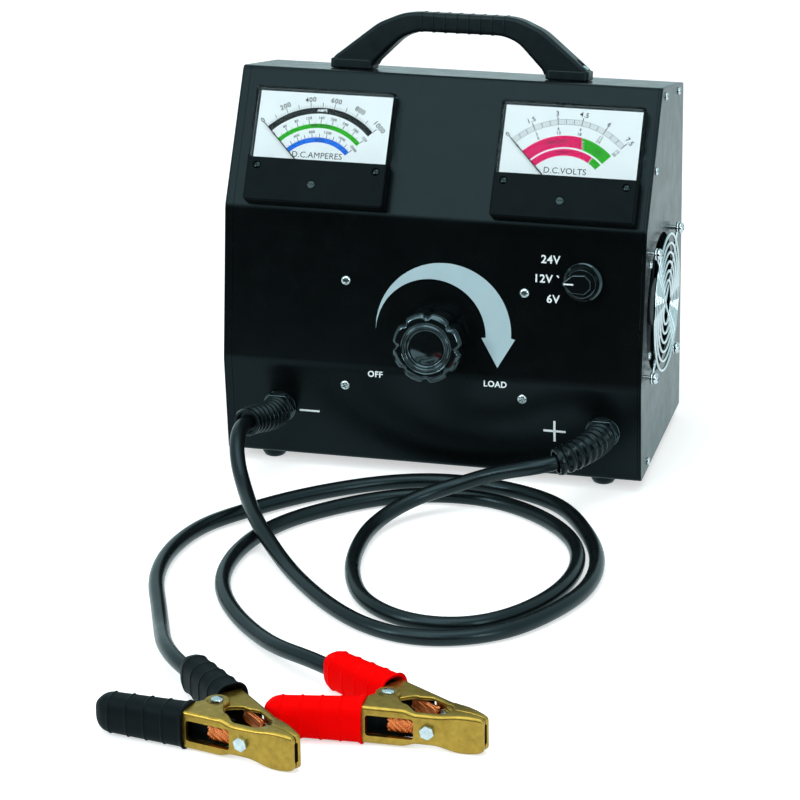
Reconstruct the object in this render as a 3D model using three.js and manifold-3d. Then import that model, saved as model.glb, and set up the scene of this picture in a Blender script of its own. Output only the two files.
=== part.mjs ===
// Carbon pile load tester for vehicle batteries: a folded steel case with two panel meters,
// a screw-loaded carbon pile, a cooling fan and two leads that end in brass clamps.
// Millimetres, +Z up, the front faces -Y. The origin is under the middle of the case,
// on the surface that the feet stand on.

import * as THREE from 'three';
import { mergeVertices } from 'three/addons/utils/BufferGeometryUtils.js';
import Module from 'manifold-3d';

const wasm = await Module();
wasm.setup();

// Clearances and overruns
const fitGap = 0.3;
const cutOverrun = 2;
const screwClearance = 0.4;

// Folded steel case: side outline, from the bottom front edge
const caseWidth = 358;
const caseDepth = 186;
const sheet = 1.5;
const footHeight = 10;
const chinForward = 6;
const chinHeight = 84;
const browBack = 12;
const browHeight = 214.5;
const crestBack = 77;
const crestHeight = 318;
const rearHeight = 295;
const rearLean = 8;
const bottomBend = 4;
const chinBend = 30;
const browBend = 45;
const crestBend = 5;
const rearBend = 3;
const bottomReturn = 14;
const rearReturn = 12;
const leftLip = 7;
const rightLip = 3;

// Vents in the left side and the rear panel
const ventLength = 46;
const ventWidth = 4;
const ventPitch = 12;
const ventFloorClearance = 60;
const ventColumnPitch = 62;
const sideVentRows = 7;
const rearVentRows = 6;

// Feet
const footRadius = 11.5;
const footSideInset = 35.5;
const footEndInset = 20;

// Carrying handle
const handleX = 0.5;
const handleLength = 222;
const handleRise = 50.5;
const gripThick = 16.2;
const handleDepth = 26;
const handleSetback = 24.5;
const handleEndHeight = 8;
const handleFootLength = 37;
const handleSlopeRun = 40;
const handleSlopeTop = 40;
const handleCornerRun = 21;
const handleInnerRun = 37;
const handleBevel = 4;
const handleScrewInset = 7;
const handleLedge = 9;
const handleScrewHead = 5;
const handleScrewHeadHeight = 3.6;
const handleScrewShank = 2.5;
const handleScrewLength = 20;

// Panel meters
const meterWidth = 120;
const meterHeight = 99;
const meterRise = 2.5;
const ammeterInset = 78.5;
const voltmeterInset = 69.5;
const meterCoverDepth = 15;
const meterCoverWall = 2;
const meterBaseThick = 7;
const meterBarrelRadius = 37;
const meterBarrelDepth = 32;
const scaleWidth = 114;
const scaleHeight = 63;
const scaleThick = 0.8;
const scaleSeat = 1;
const needlePivotRise = 20;
const dialShift = -2.5;
const needleLength = 68;
const needleWidth = 1.2;
const needleThick = 0.6;
const needleTail = 12;
const needleTailWidth = 3;
const needleHub = 3;
const needleHubThick = 2.4;
const needleRestTurn = THREE.MathUtils.degToRad(45);
const zeroScrewRadius = 3.4;
const zeroScrewLength = 3;
const zeroScrewRise = 15.8;

// Load control: screw, knob, plate, pile and the frame that carries them
const loadX = 3;
const loadRise = 28;
const loadKnobRadius = 30;
const loadKnobDepth = 27;
const loadKnobLobes = 8;
const loadKnobNotch = 4.2;
const loadKnobRing = 22.6;
const loadKnobDish = 17.5;
const loadKnobDishDepth = 5;
const loadKnobStandoff = 2;
const loadScrewRadius = 6;
const loadScrewGrip = 18;
const frameStandoff = 12;
const framePlate = 3;
const framePlateMargin = 8;
const framePlateTop = 84;
const framePlateDrop = 20;
const frameBossRadius = 5;
const frameArmSpan = 90;
const frameArmHeight = 46;
const frameArmLength = 112;
const frameArmThick = 4;
const pressPlateWidth = 76;
const pressPlateHeight = 60;
const pressPlateThick = 6;
const pressTravel = 1.5;
const screwNoseReach = 22;
const pileRadius = 30;
const pileGrooveDepth = 1;
const pileDiscs = 5;
const pileGroove = 1.4;

// Screws that hold the pile frame to the front
const controlScrewSpan = 152;
const controlScrewRise = 75;
const controlScrewDrop = 15.5;
const controlScrewHead = 4.2;
const controlScrewHeadHeight = 2.4;
const controlScrewShank = 2;
const controlScrewLength = 9;

// Voltage selector
const selectorInset = 51;
const selectorRise = 88;
const selectorSkirtRadius = 16.4;
const selectorSkirtDepth = 6;
const selectorBarLength = 32;
const selectorBarWidth = 10;
const selectorBarTop = 16;
const selectorShaft = 3;
const selectorShaftDepth = 14;
const selectorBushRadius = 4.7;
const selectorBushRise = 7;
const selectorBodyRadius = 14;
const selectorBodyDepth = 20;

// Cooling fan behind the right side
const fanBack = 74;
const fanHeight = 134;
const fanTilt = THREE.MathUtils.degToRad(-6);
const fanSize = 119;
const fanThick = 25;
const fanBore = 57.5;
const fanOpening = 58.5;
const fanScrewPitch = 105;
const fanHubRadius = 20;
const fanMotorRadius = 17;
const fanMotorThick = 4;
const fanStrutWidth = 6;
const fanBladeReach = 55;
const fanBladeCount = 7;
const fanBladePitch = THREE.MathUtils.degToRad(38);
const fanBladeChord = 24;
const fanBladeThick = 1.6;
const fanScrewHead = 4.8;
const fanScrewHeadHeight = 3.6;
const fanScrewShank = 2;
const guardWire = 1.25;
const guardStandoff = 5;
const guardRings = 6;
const guardRingPitch = 7.8;
const guardOuter = 57.5;
const guardLoop = 3.9;

// Current shunt on the case floor
const shuntLength = 90;
const shuntBlock = 18;
const shuntWidth = 24;
const shuntBlockHeight = 14;
const shuntStrip = 2.5;
const shuntX = -60;
const shuntBack = 45;

// Lead glands on the chin
const minusGlandInset = 48;
const plusGlandInset = 32;
const glandDrop = 40;
const glandNutRadius = 15;
const glandNutLength = 9;
const glandThreadRadius = 9;
const glandThreadLength = 12;
const bootRootRadius = 13;
const bootTipRadius = 11;
const bootRibs = 8;
const bootRibDepth = 1.5;
const bootSides = 8;
const bootStraight = 8;
const minusBootLength = 52;
const plusBootLength = 62;

// Leads
const leadRadius = 6.25;
const leadSides = 10;
const clampStraight = 18;
const minusLeadSteps = 40;
const plusLeadSteps = 36;

// Brass clamps
const clampHeight = 16.2;
const armTurn = THREE.MathUtils.degToRad(16.5);
const gripTurn = THREE.MathUtils.degToRad(6);
const noseReach = 80;
const noseHalf = 4.5;
const noseLength = 24;
const armLength = 150;
const armWeb = 3;
const armTangStart = 89;
const flangeDepth = 12;
const flangeStep = 52;
const lipDepth = 6;
const lipHalfHeight = 11.8;
const noseFlare = 31;
const noseRise = 13.6;
const noseDrop = 16;
const flangeThick = 3;
const nearHalfHeight = 14.5;
const earRadius = 9;
const earSpreadShare = 0.8;
const earRiseShare = 0.6;
const earStart = 72;
const windowStart = 51;
const windowEnd = 86;
const windowHalfHeight = 8;
const tangHalfHeight = 9;
const sleeveStart = 88;
const sleeveEnd = 159;
const sleeveTaperShare = 0.9;
const sleeveRibShare = 0.75;
const sleeveOutside = 3.5;
const sleeveThick = 25;
const sleeveHalfHeight = 16;
const sleeveRib = 1;
const sleeveRibs = 4;
const sleeveSides = 12;
const sleeveDome = 9;
const leadInset = 10.5;
const leadCrimp = 100;
const pinRadius = 3;
const pinHeadRadius = 4.6;
const pinHeadTopShare = 0.7;
const pinHeadHeight = 1.3;
const springWire = 1.1;
const springCoilRadius = 4.8;
const springCoils = 4;
const springPitch = 2.7;
const springLegLength = 9;
const minusClampX = -33.5;
const minusClampBack = -505;
const minusClampTurn = THREE.MathUtils.degToRad(-29.5);
const plusClampX = 81.5;
const plusClampBack = -466;
const plusClampTurn = THREE.MathUtils.degToRad(-15.9);

// Smoothness of round forms, as counts
const roundSides = 22;
const smallSides = 12;
const screwSides = 8;
const footSides = 16;
const wireSides = 5;
const ringSteps = 24;
const bendStep = THREE.MathUtils.degToRad(14);
const coilSteps = 7;

// Routes of the two leads: the first points are [from the gland, back, up], the others [across, back, up]
const minusBootRoute = [[-1.3, -30, 54], [-14.4, -62.8, 61.5], [-14.1, -83.7, 58.6]];
const plusBootRoute = [[-3.9, -37.5, 54.3], [-22.8, -64.4, 49.5]];
const minusLeadRoute = [
  [-138, -106.9, 42], [-127.4, -124.1, 29.2], [-104.6, -168.5, 21.3], [-70.9, -211.9, 8.2],
  [-39.9, -252.4, 6.5], [-4, -291.2, 6.5], [27.4, -314.2, 6.4], [62.9, -325, 6.4], [98.3, -318.9, 6.5],
  [131.9, -297, 6.4], [158.8, -255.9, 6.5], [174.8, -208.1, 6.4], [172.4, -154, 6.4],
  [152.7, -102.2, 6.4], [118.7, -51.9, 6.5], [66.3, -27.1, 6.5], [15.3, -22.8, 6.4], [-13.2, -29.3, 6.4],
  [-49.1, -47.4, 6.4], [-93.3, -81.8, 6.4], [-123.2, -114.6, 6.4], [-152.6, -155.7, 6.5],
  [-164.1, -208, 6.4], [-158.8, -261.9, 6.5], [-141, -311, 6.5], [-124.5, -354.5, 7.6],
  [-111, -389.5, 13],
];
const plusLeadRoute = [
  [100.9, -72.4, 45.2], [73, -67.5, 37.5], [57.9, -66.3, 30.9], [39.5, -69.8, 24.5], [5.8, -88.5, 16],
  [-16.7, -123.7, 8.2], [-19.4, -172, 6.5], [-11.1, -220, 6.5], [8.8, -264.8, 6.4], [37.3, -290.1, 6.4],
  [70, -300, 6.4], [104.9, -291.9, 6.4], [135.7, -260.6, 6.4], [156.8, -208.4, 6.4], [157.6, -157, 6.4],
  [142.6, -116.3, 6.4], [109.2, -78.9, 6.5], [63.2, -54.7, 6.5], [22.2, -53, 6.4], [-17.2, -65.4, 6.4],
  [-59.8, -98.2, 6.4], [-91.5, -136.4, 6.4], [-108.9, -184, 6.4], [-110.5, -236.9, 6.4],
  [-99.1, -278.5, 6.5], [-75.8, -317.8, 6.5], [-49.9, -349.8, 8.1], [-24.6, -377.2, 12.3],
];

const finishes = {
  steelBlack: { color: 0x14181b, roughness: 0.35, metalness: 0.2 },
  plasticBlack: { color: 0x101214, roughness: 0.3, metalness: 0 },
  rubberBlack: { color: 0x17191b, roughness: 0.7, metalness: 0 },
  rubberRed: { color: 0xd80f0c, roughness: 0.55, metalness: 0 },
  zinc: { color: 0xc9ced0, roughness: 0.3, metalness: 1 },
  chrome: { color: 0xd8dcde, roughness: 0.12, metalness: 1 },
  brass: { color: 0xa5823c, roughness: 0.42, metalness: 1 },
  copper: { color: 0xb8683a, roughness: 0.35, metalness: 1 },
  carbon: { color: 0x1b1b1d, roughness: 0.85, metalness: 0 },
  clear: { color: 0xf2f7f9, roughness: 0.05, metalness: 0, transparent: true, opacity: 0.3 },
  dialWhite: { color: 0xeef1f0, roughness: 0.5, metalness: 0 },
};

const tester = new THREE.Group();

// Adds one named sub-part to its group
function addPart(name, geometry, finish, parent = tester) {
  geometry.computeVertexNormals();
  const mesh = new THREE.Mesh(geometry, new THREE.MeshStandardMaterial(finishes[finish]));
  mesh.name = name;
  parent.add(mesh);
  return mesh;
}

// Booleans
function toSolid(geometry) {
  const bare = new THREE.BufferGeometry();
  bare.setAttribute('position', geometry.getAttribute('position').clone());
  if (geometry.index) bare.setIndex(geometry.index.clone());
  const merged = mergeVertices(bare);
  return new wasm.Manifold(new wasm.Mesh({
    numProp: 3,
    vertProperties: new Float32Array(merged.attributes.position.array),
    triVerts: new Uint32Array(merged.index.array),
  }));
}

function toGeometry(manifold) {
  const mesh = manifold.getMesh();
  const geometry = new THREE.BufferGeometry();
  geometry.setAttribute('position', new THREE.BufferAttribute(mesh.vertProperties, mesh.numProp));
  geometry.setIndex(new THREE.BufferAttribute(mesh.triVerts, 1));
  return geometry;
}

function join(...geometries) {
  return toGeometry(geometries.map(toSolid).reduce((whole, next) => whole.add(next)));
}

function cut(geometry, cutters) {
  const rest = cutters.map(toSolid).reduce((left, cutter) => left.subtract(cutter), toSolid(geometry));
  return toGeometry(rest);
}

// Plain forms, each placed in the frame that it is named for
function block([x0, x1], [y0, y1], [z0, z1]) {
  const geometry = new THREE.BoxGeometry(x1 - x0, y1 - y0, z1 - z0);
  return geometry.translate((x0 + x1) / 2, (y0 + y1) / 2, (z0 + z1) / 2);
}

function rod(radius, z0, z1, x = 0, y = 0, sides = smallSides) {
  const geometry = new THREE.CylinderGeometry(radius, radius, z1 - z0, sides);
  return geometry.rotateX(Math.PI / 2).translate(x, y, (z0 + z1) / 2);
}

function turned(profile, sides = roundSides) {
  const points = profile.map(([radius, z]) => new THREE.Vector2(radius, z));
  const geometry = new THREE.LatheGeometry(points, sides);
  return geometry.rotateX(Math.PI / 2);
}

function panHead(head, headHeight, shank, shankLength, x = 0, y = 0) {
  const domeShare = 0.62;
  const profile = [
    [0, -shankLength], [shank, -shankLength], [shank, fitGap], [head, fitGap],
    [head, fitGap + headHeight * (1 - domeShare)], [head * domeShare, fitGap + headHeight],
    [0, fitGap + headHeight],
  ];
  return turned(profile, screwSides).translate(x, y, 0);
}

function inFrame(frame, geometry) {
  frame.updateWorldMatrix(true, false);
  return geometry.applyMatrix4(frame.matrixWorld);
}

// The side outline of the case as [back, up] points, from the underside round to the rear
const outline = {
  underside: [bottomReturn, footHeight],
  toe: [0, footHeight],
  chin: [-chinForward, footHeight + chinHeight],
  brow: [browBack, footHeight + browHeight],
  crest: [crestBack, footHeight + crestHeight],
  rear: [caseDepth - rearLean, footHeight + rearHeight],
  rearTuck: [caseDepth - rearLean * (1 - rearReturn / rearHeight), footHeight + rearHeight - rearReturn],
  heel: [caseDepth, footHeight],
};
const wrapPoints = [
  outline.underside, outline.toe, outline.chin, outline.brow, outline.crest, outline.rear, outline.rearTuck,
].map(([back, up]) => new THREE.Vector2(back, up));
const wrapBends = [0, bottomBend, chinBend, browBend, crestBend, rearBend, 0];

// Moves a path sideways by a distance, keeping its corners on the bisectors
function offsetPath(points, distance) {
  return points.map((point, index) => {
    const before = points[Math.max(index - 1, 0)];
    const after = points[Math.min(index + 1, points.length - 1)];
    const incoming = (index ? point.clone().sub(before) : after.clone().sub(point)).normalize();
    const outgoing = (index < points.length - 1 ? after.clone().sub(point) : incoming.clone()).normalize();
    const normalIn = new THREE.Vector2(incoming.y, -incoming.x);
    const normalOut = new THREE.Vector2(outgoing.y, -outgoing.x);
    const bisector = normalIn.clone().add(normalOut).normalize();
    return point.clone().addScaledVector(bisector, distance / bisector.dot(normalIn));
  });
}

// Rounds the corners of a path, each with its own radius
function roundPath(points, radii) {
  const rounded = [];
  points.forEach((corner, index) => {
    if (!radii[index]) {
      rounded.push(corner.clone());
      return;
    }
    const toBefore = points[index - 1].clone().sub(corner).normalize();
    const toAfter = points[index + 1].clone().sub(corner).normalize();
    const half = Math.acos(THREE.MathUtils.clamp(toBefore.dot(toAfter), -1, 1)) / 2;
    const centre = corner.clone().addScaledVector(
      toBefore.clone().add(toAfter).normalize(), radii[index] / Math.sin(half));
    const start = corner.clone().addScaledVector(toBefore, radii[index] / Math.tan(half)).sub(centre);
    const turn = (Math.PI - 2 * half) * -Math.sign(toBefore.cross(toAfter));
    const steps = Math.max(2, Math.ceil(Math.abs(turn) / bendStep));
    for (let step = 0; step <= steps; step += 1) {
      rounded.push(start.clone().rotateAround(new THREE.Vector2(), turn * step / steps).add(centre));
    }
  });
  return rounded;
}

// Extrudes a [back, up] outline across the width of the case
function acrossWidth(points, from, to) {
  const shape = new THREE.Shape(points);
  const geometry = new THREE.ExtrudeGeometry(shape, { depth: to - from, bevelEnabled: false });
  const basis = new THREE.Matrix4().makeBasis(
    new THREE.Vector3(0, 1, 0), new THREE.Vector3(0, 0, 1), new THREE.Vector3(1, 0, 0));
  return geometry.applyMatrix4(basis).translate(from, 0, 0);
}

const outerWrap = roundPath(wrapPoints, wrapBends);
const innerWrap = roundPath(
  offsetPath(wrapPoints, sheet),
  wrapBends.map((radius) => radius ? Math.max(radius - sheet, fitGap) : 0));
const wrapSection = [...outerWrap, ...innerWrap.slice().reverse()];

// A group whose XY plane lies on a flat of the outline, with Z outward
function faceFrame(low, high, origin) {
  const frame = new THREE.Group();
  frame.position.set(0, origin[0], origin[1]);
  frame.rotation.x = Math.atan2(high[1] - low[1], high[0] - low[0]);
  tester.add(frame);
  return frame;
}

const chinFrame = faceFrame(outline.toe, outline.chin, outline.chin);
const controlFrame = faceFrame(outline.chin, outline.brow, outline.chin);
const meterFrame = faceFrame(outline.brow, outline.crest, outline.brow);
const topFrame = faceFrame(outline.crest, outline.rear, outline.crest);

const fanFrameGroup = new THREE.Group();
fanFrameGroup.position.set(caseWidth / 2, fanBack, footHeight + fanHeight);
fanFrameGroup.rotation.set(fanTilt, 0, 0);
tester.add(fanFrameGroup);
const fanAxis = new THREE.Group();
fanAxis.quaternion.setFromRotationMatrix(new THREE.Matrix4().makeBasis(
  new THREE.Vector3(0, 1, 0), new THREE.Vector3(0, 0, 1), new THREE.Vector3(1, 0, 0)));
fanFrameGroup.add(fanAxis);

const corners = [[-1, 1], [1, 1], [-1, -1], [1, -1]];
const meters = [['ammeter', ammeterInset - caseWidth / 2], ['voltmeter', caseWidth / 2 - voltmeterInset]];
const selectorX = caseWidth / 2 - selectorInset;
const meterMiddle = meterRise + meterHeight / 2;
const controlScrews = [
  ['control_screw_upper_left', -1, true], ['control_screw_upper_right', 1, true],
  ['control_screw_lower_left', -1, false], ['control_screw_lower_right', 1, false],
].map(([name, side, upper]) => ({
  name,
  x: loadX + side * controlScrewSpan / 2,
  y: upper ? controlScrewRise : -controlScrewDrop,
  frame: upper ? controlFrame : chinFrame,
}));
const handleScrewReach = handleLength / 2 - handleScrewInset;
const handleMiddleBack = handleSetback + handleDepth / 2;
const minusGland = { sign: 'minus', x: minusGlandInset - caseWidth / 2 };
const plusGland = { sign: 'plus', x: caseWidth / 2 - plusGlandInset };

// Case
function frontPanel() {
  const from = -caseWidth / 2 + leftLip + fitGap;
  const to = caseWidth / 2 - rightLip - fitGap;
  const through = [-sheet - cutOverrun, cutOverrun];
  const holes = [
    ...meters.map(([, x]) => inFrame(meterFrame,
      rod(meterBarrelRadius + screwClearance, -2 * sheet - cutOverrun, through[1], x, meterMiddle,
        roundSides))),
    ...controlScrews.map(({ frame, x, y }) => inFrame(frame,
      rod(controlScrewShank + screwClearance, ...through, x, y))),
    ...[minusGland, plusGland].map(({ x }) => inFrame(chinFrame,
      rod(glandThreadRadius + screwClearance, ...through, x, -glandDrop, roundSides))),
    ...[-1, 1].map((side) => inFrame(topFrame,
      rod(handleScrewShank + screwClearance, ...through, handleX + side * handleScrewReach,
        handleMiddleBack))),
    inFrame(controlFrame,
      rod(loadScrewRadius + 2 * screwClearance, ...through, loadX, loadRise, roundSides)),
    inFrame(controlFrame, rod(selectorBushRadius + screwClearance, ...through, selectorX, selectorRise)),
  ];
  return cut(acrossWidth(wrapSection, from, to), holes);
}

function sideProfile() {
  const corners = [outline.rearTuck, outline.heel, outline.underside];
  const tuck = corners.map(([back, up]) => new THREE.Vector2(back, up));
  return [...outerWrap, tuck[1]];
}

function sidePanel(side, lip) {
  const outer = side * caseWidth / 2;
  const span = (reach) => [outer, outer - side * reach].sort((a, b) => a - b);
  return join(acrossWidth(sideProfile(), ...span(sheet)), acrossWidth(wrapSection, ...span(lip)));
}

function slot(length, width, depth) {
  const shape = new THREE.Shape();
  const straight = (length - width) / 2;
  shape.absarc(straight, 0, width / 2, -Math.PI / 2, Math.PI / 2);
  shape.absarc(-straight, 0, width / 2, Math.PI / 2, Math.PI * 1.5);
  return new THREE.ExtrudeGeometry(shape, { depth, bevelEnabled: false, curveSegments: 3 });
}

function leftSidePanel() {
  const vents = [];
  for (let row = 0; row < sideVentRows; row += 1) {
    for (const column of [-1, 1]) {
      const vent = slot(ventLength, ventWidth, leftLip + cutOverrun);
      vent.rotateX(Math.PI / 2).rotateZ(Math.PI / 2);
      vents.push(vent.translate(
        -caseWidth / 2 - cutOverrun / 2, caseDepth / 2 + column * ventColumnPitch / 2,
        footHeight + ventFloorClearance + row * ventPitch));
    }
  }
  return cut(sidePanel(-1, leftLip), vents);
}

function rightSidePanel() {
  const through = [-rightLip - cutOverrun, cutOverrun];
  const holes = [rod(fanOpening, ...through, 0, 0, roundSides * 2)];
  for (const [side, level] of corners) {
    const [x, y] = [side * fanScrewPitch / 2, level * fanScrewPitch / 2];
    holes.push(rod(fanScrewShank + screwClearance, ...through, x, y));
  }
  return cut(sidePanel(1, rightLip), holes.map((hole) => inFrame(fanAxis, hole)));
}

const innerLeft = -caseWidth / 2 + sheet + fitGap;
const innerRight = caseWidth / 2 - sheet - fitGap;

function rearPanel() {
  const [foot, top] = [outline.heel, outline.rearTuck].map(([back, up]) => new THREE.Vector2(back, up));
  top.y -= fitGap;
  const skin = [
    foot, top, new THREE.Vector2(top.x - sheet, top.y), new THREE.Vector2(foot.x - sheet, foot.y)];
  const plate = acrossWidth(skin, innerLeft, innerRight);
  const vents = [];
  for (let row = 0; row < rearVentRows; row += 1) {
    for (const column of [-1, 1]) {
      const vent = slot(ventLength, ventWidth, sheet + 2 * cutOverrun).rotateX(Math.PI / 2);
      vents.push(vent.translate(
        column * ventColumnPitch / 2, caseDepth + cutOverrun,
        footHeight + ventFloorClearance + row * ventPitch));
    }
  }
  return cut(plate, vents);
}

function bottomPanel() {
  return block(
    [innerLeft, innerRight], [bottomReturn + fitGap, caseDepth - sheet - fitGap],
    [footHeight, footHeight + sheet]);
}

addPart('front_panel', frontPanel(), 'steelBlack');
addPart('left_side_panel', leftSidePanel(), 'steelBlack');
addPart('right_side_panel', rightSidePanel(), 'steelBlack');
addPart('rear_panel', rearPanel(), 'steelBlack');
addPart('bottom_panel', bottomPanel(), 'steelBlack');

// Feet
const footTop = footHeight - fitGap;
const footProfile = [
  [0, 0], [footRadius * 0.45, 0], [footRadius * 0.78, footTop * 0.2], [footRadius, footTop * 0.6],
  [footRadius, footTop], [0, footTop],
];
const footPlaces = {
  foot_front_left: [-1, footEndInset],
  foot_front_right: [1, footEndInset],
  foot_rear_left: [-1, caseDepth - footEndInset],
  foot_rear_right: [1, caseDepth - footEndInset],
};
for (const [name, [side, back]] of Object.entries(footPlaces)) {
  const foot = addPart(name, turned(footProfile, footSides), 'rubberBlack');
  foot.position.set(side * (caseWidth / 2 - footSideInset), back, 0);
}

// Handle: a bowed grip on two feet, in the frame of the top
function carryingHandle() {
  const end = handleLength / 2;
  const inner = end - handleFootLength;
  const under = handleRise - gripThick;
  const crown = handleRise - handleSlopeTop;
  const outside = [
    [end, -handleBevel], [end, handleEndHeight], [end - handleSlopeRun, handleSlopeTop],
    [end - handleSlopeRun - handleCornerRun * 0.45, handleSlopeTop + crown * 0.68],
    [end - handleSlopeRun - handleCornerRun, handleRise],
  ];
  const inside = [
    [inner - handleInnerRun, under], [inner - handleInnerRun * 0.78, under * 0.95],
    [inner - handleInnerRun * 0.6, under * 0.83], [inner - handleInnerRun * 0.08, handleEndHeight],
    [inner, -handleBevel],
  ];
  const mirrored = (points) => points.slice().reverse().map(([x, z]) => [-x, z]);
  const path = [...outside, ...mirrored(outside), ...mirrored(inside), ...inside];
  const shape = new THREE.Shape(path.map(([x, z]) => new THREE.Vector2(x, z)));
  const body = new THREE.ExtrudeGeometry(shape, {
    depth: handleDepth - 2 * handleBevel, bevelEnabled: true, bevelSize: handleBevel,
    bevelThickness: handleBevel, bevelSegments: 3, bevelOffset: -handleBevel,
  });
  body.rotateX(Math.PI / 2).translate(0, handleDepth - handleBevel, 0);
  const below = block(
    [-handleLength, handleLength], [-handleDepth, 2 * handleDepth], [-handleRise, fitGap]);
  const screwHoles = [-1, 1].flatMap((side) => [
    rod(handleScrewHead + 2 * screwClearance, handleLedge, handleRise, side * handleScrewReach,
      handleDepth / 2),
    rod(handleScrewShank + screwClearance, -cutOverrun, handleRise, side * handleScrewReach,
      handleDepth / 2),
  ]);
  return cut(body, [below, ...screwHoles]).translate(handleX, handleSetback, 0);
}

addPart('carrying_handle', carryingHandle(), 'plasticBlack', topFrame);
for (const [name, side] of [['handle_screw_left', -1], ['handle_screw_right', 1]]) {
  const screw = addPart(
    name, panHead(handleScrewHead, handleScrewHeadHeight, handleScrewShank, handleScrewLength), 'zinc',
    topFrame);
  screw.position.set(handleX + side * handleScrewReach, handleMiddleBack, handleLedge);
}

// Screws of the pile frame
for (const { name, frame, x, y } of controlScrews) {
  const head = panHead(
    controlScrewHead, controlScrewHeadHeight, controlScrewShank, controlScrewLength, x, y);
  addPart(name, head, 'zinc', frame);
}

// Meters
const baseLow = fitGap;
const baseHigh = baseLow + meterBaseThick;
const scaleLow = baseHigh + fitGap;
const needlePlane = scaleLow + scaleThick + fitGap + needleHubThick / 2;

function meterCase() {
  const plate = block(
    [-meterWidth / 2 + meterCoverWall + fitGap, meterWidth / 2 - meterCoverWall - fitGap],
    [-meterHeight / 2 + meterCoverWall + fitGap, meterHeight / 2 - meterCoverWall - fitGap],
    [baseLow, baseHigh]);
  const barrel = rod(meterBarrelRadius, -meterBarrelDepth, baseHigh - fitGap, 0, 0, roundSides);
  const post = rod(needleHub * 0.8, baseHigh - fitGap, needlePlane - needleHubThick / 2 - fitGap,
    dialShift, needlePivotRise - meterHeight / 2);
  return join(plate, barrel, post);
}

function meterCover() {
  const shell = block(
    [-meterWidth / 2, meterWidth / 2], [-meterHeight / 2, meterHeight / 2],
    [baseLow, baseLow + meterCoverDepth]);
  const hollow = block(
    [-meterWidth / 2 + meterCoverWall, meterWidth / 2 - meterCoverWall],
    [-meterHeight / 2 + meterCoverWall, meterHeight / 2 - meterCoverWall],
    [-cutOverrun, baseLow + meterCoverDepth - meterCoverWall]);
  const screwHole = rod(
    zeroScrewRadius + screwClearance, 0, meterCoverDepth + cutOverrun, dialShift,
    zeroScrewRise - meterHeight / 2);
  return cut(shell, [hollow, screwHole]);
}

function scalePlate() {
  const top = meterHeight / 2 - meterCoverWall - scaleSeat;
  return block(
    [-scaleWidth / 2, scaleWidth / 2], [top - scaleHeight, top], [scaleLow, scaleLow + scaleThick]);
}

function needle() {
  const pointer = new THREE.Shape([
    [-needleWidth / 2, 0], [-needleWidth / 4, needleLength], [needleWidth / 4, needleLength],
    [needleWidth / 2, 0],
    [needleTailWidth / 2, -needleTail], [-needleTailWidth / 2, -needleTail],
  ].map(([x, y]) => new THREE.Vector2(x, y)));
  const blade = new THREE.ExtrudeGeometry(pointer, { depth: needleThick, bevelEnabled: false });
  blade.translate(0, 0, -needleThick / 2);
  return join(blade, rod(needleHub, -needleHubThick / 2, needleHubThick / 2));
}

function zeroScrew() {
  const top = baseLow + meterCoverDepth + zeroScrewLength / 3;
  const screw = rod(zeroScrewRadius, top - zeroScrewLength, top);
  const slit = block(
    [-zeroScrewRadius - cutOverrun, zeroScrewRadius + cutOverrun],
    [-zeroScrewLength / 5, zeroScrewLength / 5], [top - zeroScrewLength / 4, top + cutOverrun]);
  return cut(screw, [slit]);
}

for (const [name, x] of meters) {
  const meter = new THREE.Group();
  meter.position.set(x, meterMiddle, 0);
  meterFrame.add(meter);
  addPart(`${name}_case`, meterCase(), 'plasticBlack', meter);
  addPart(`${name}_cover`, meterCover(), 'clear', meter);
  addPart(`${name}_scale`, scalePlate(), 'dialWhite', meter);
  const pointer = addPart(`${name}_needle`, needle(), 'plasticBlack', meter);
  pointer.position.set(dialShift, needlePivotRise - meterHeight / 2, needlePlane);
  pointer.rotation.z = needleRestTurn;
  const adjuster = addPart(`${name}_zero_screw`, zeroScrew(), 'plasticBlack', meter);
  adjuster.position.set(dialShift, zeroScrewRise - meterHeight / 2, 0);
}

// Load control, in a frame on the screw's axis
const loadAxis = new THREE.Group();
loadAxis.position.set(loadX, loadRise, 0);
controlFrame.add(loadAxis);
const screwNose = -frameStandoff - framePlate - screwNoseReach;
const pressFront = screwNose - fitGap;
const pressRear = pressFront - pressPlateThick;
const frameRear = -frameStandoff - framePlate - frameArmLength;
const pileFront = pressRear - fitGap - pressTravel;
const pileRear = frameRear + fitGap;
const knobBack = loadKnobStandoff;
const knobFront = knobBack + loadKnobDepth;

function loadKnob() {
  const skirt = loadKnobRadius * 0.94;
  const body = turned([
    [0, knobBack], [skirt, knobBack], [loadKnobRadius, knobBack + loadKnobDepth * 0.2],
    [loadKnobRadius, knobFront - loadKnobDepth * 0.22],
    [loadKnobRadius * 0.9, knobFront - loadKnobDepth * 0.08], [loadKnobRing, knobFront],
    [loadKnobDish, knobFront], [loadKnobDish * 0.92, knobFront - loadKnobDishDepth],
    [0, knobFront - loadKnobDishDepth],
  ]);
  const notches = [];
  for (let lobe = 0; lobe < loadKnobLobes; lobe += 1) {
    const turn = lobe / loadKnobLobes * 2 * Math.PI;
    notches.push(rod(loadKnobNotch, 0, knobFront + cutOverrun,
      Math.cos(turn) * loadKnobRadius, Math.sin(turn) * loadKnobRadius));
  }
  const bore = rod(loadScrewRadius + fitGap, 0, loadScrewGrip + fitGap, 0, 0, smallSides);
  return cut(body, [...notches, bore]);
}

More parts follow.
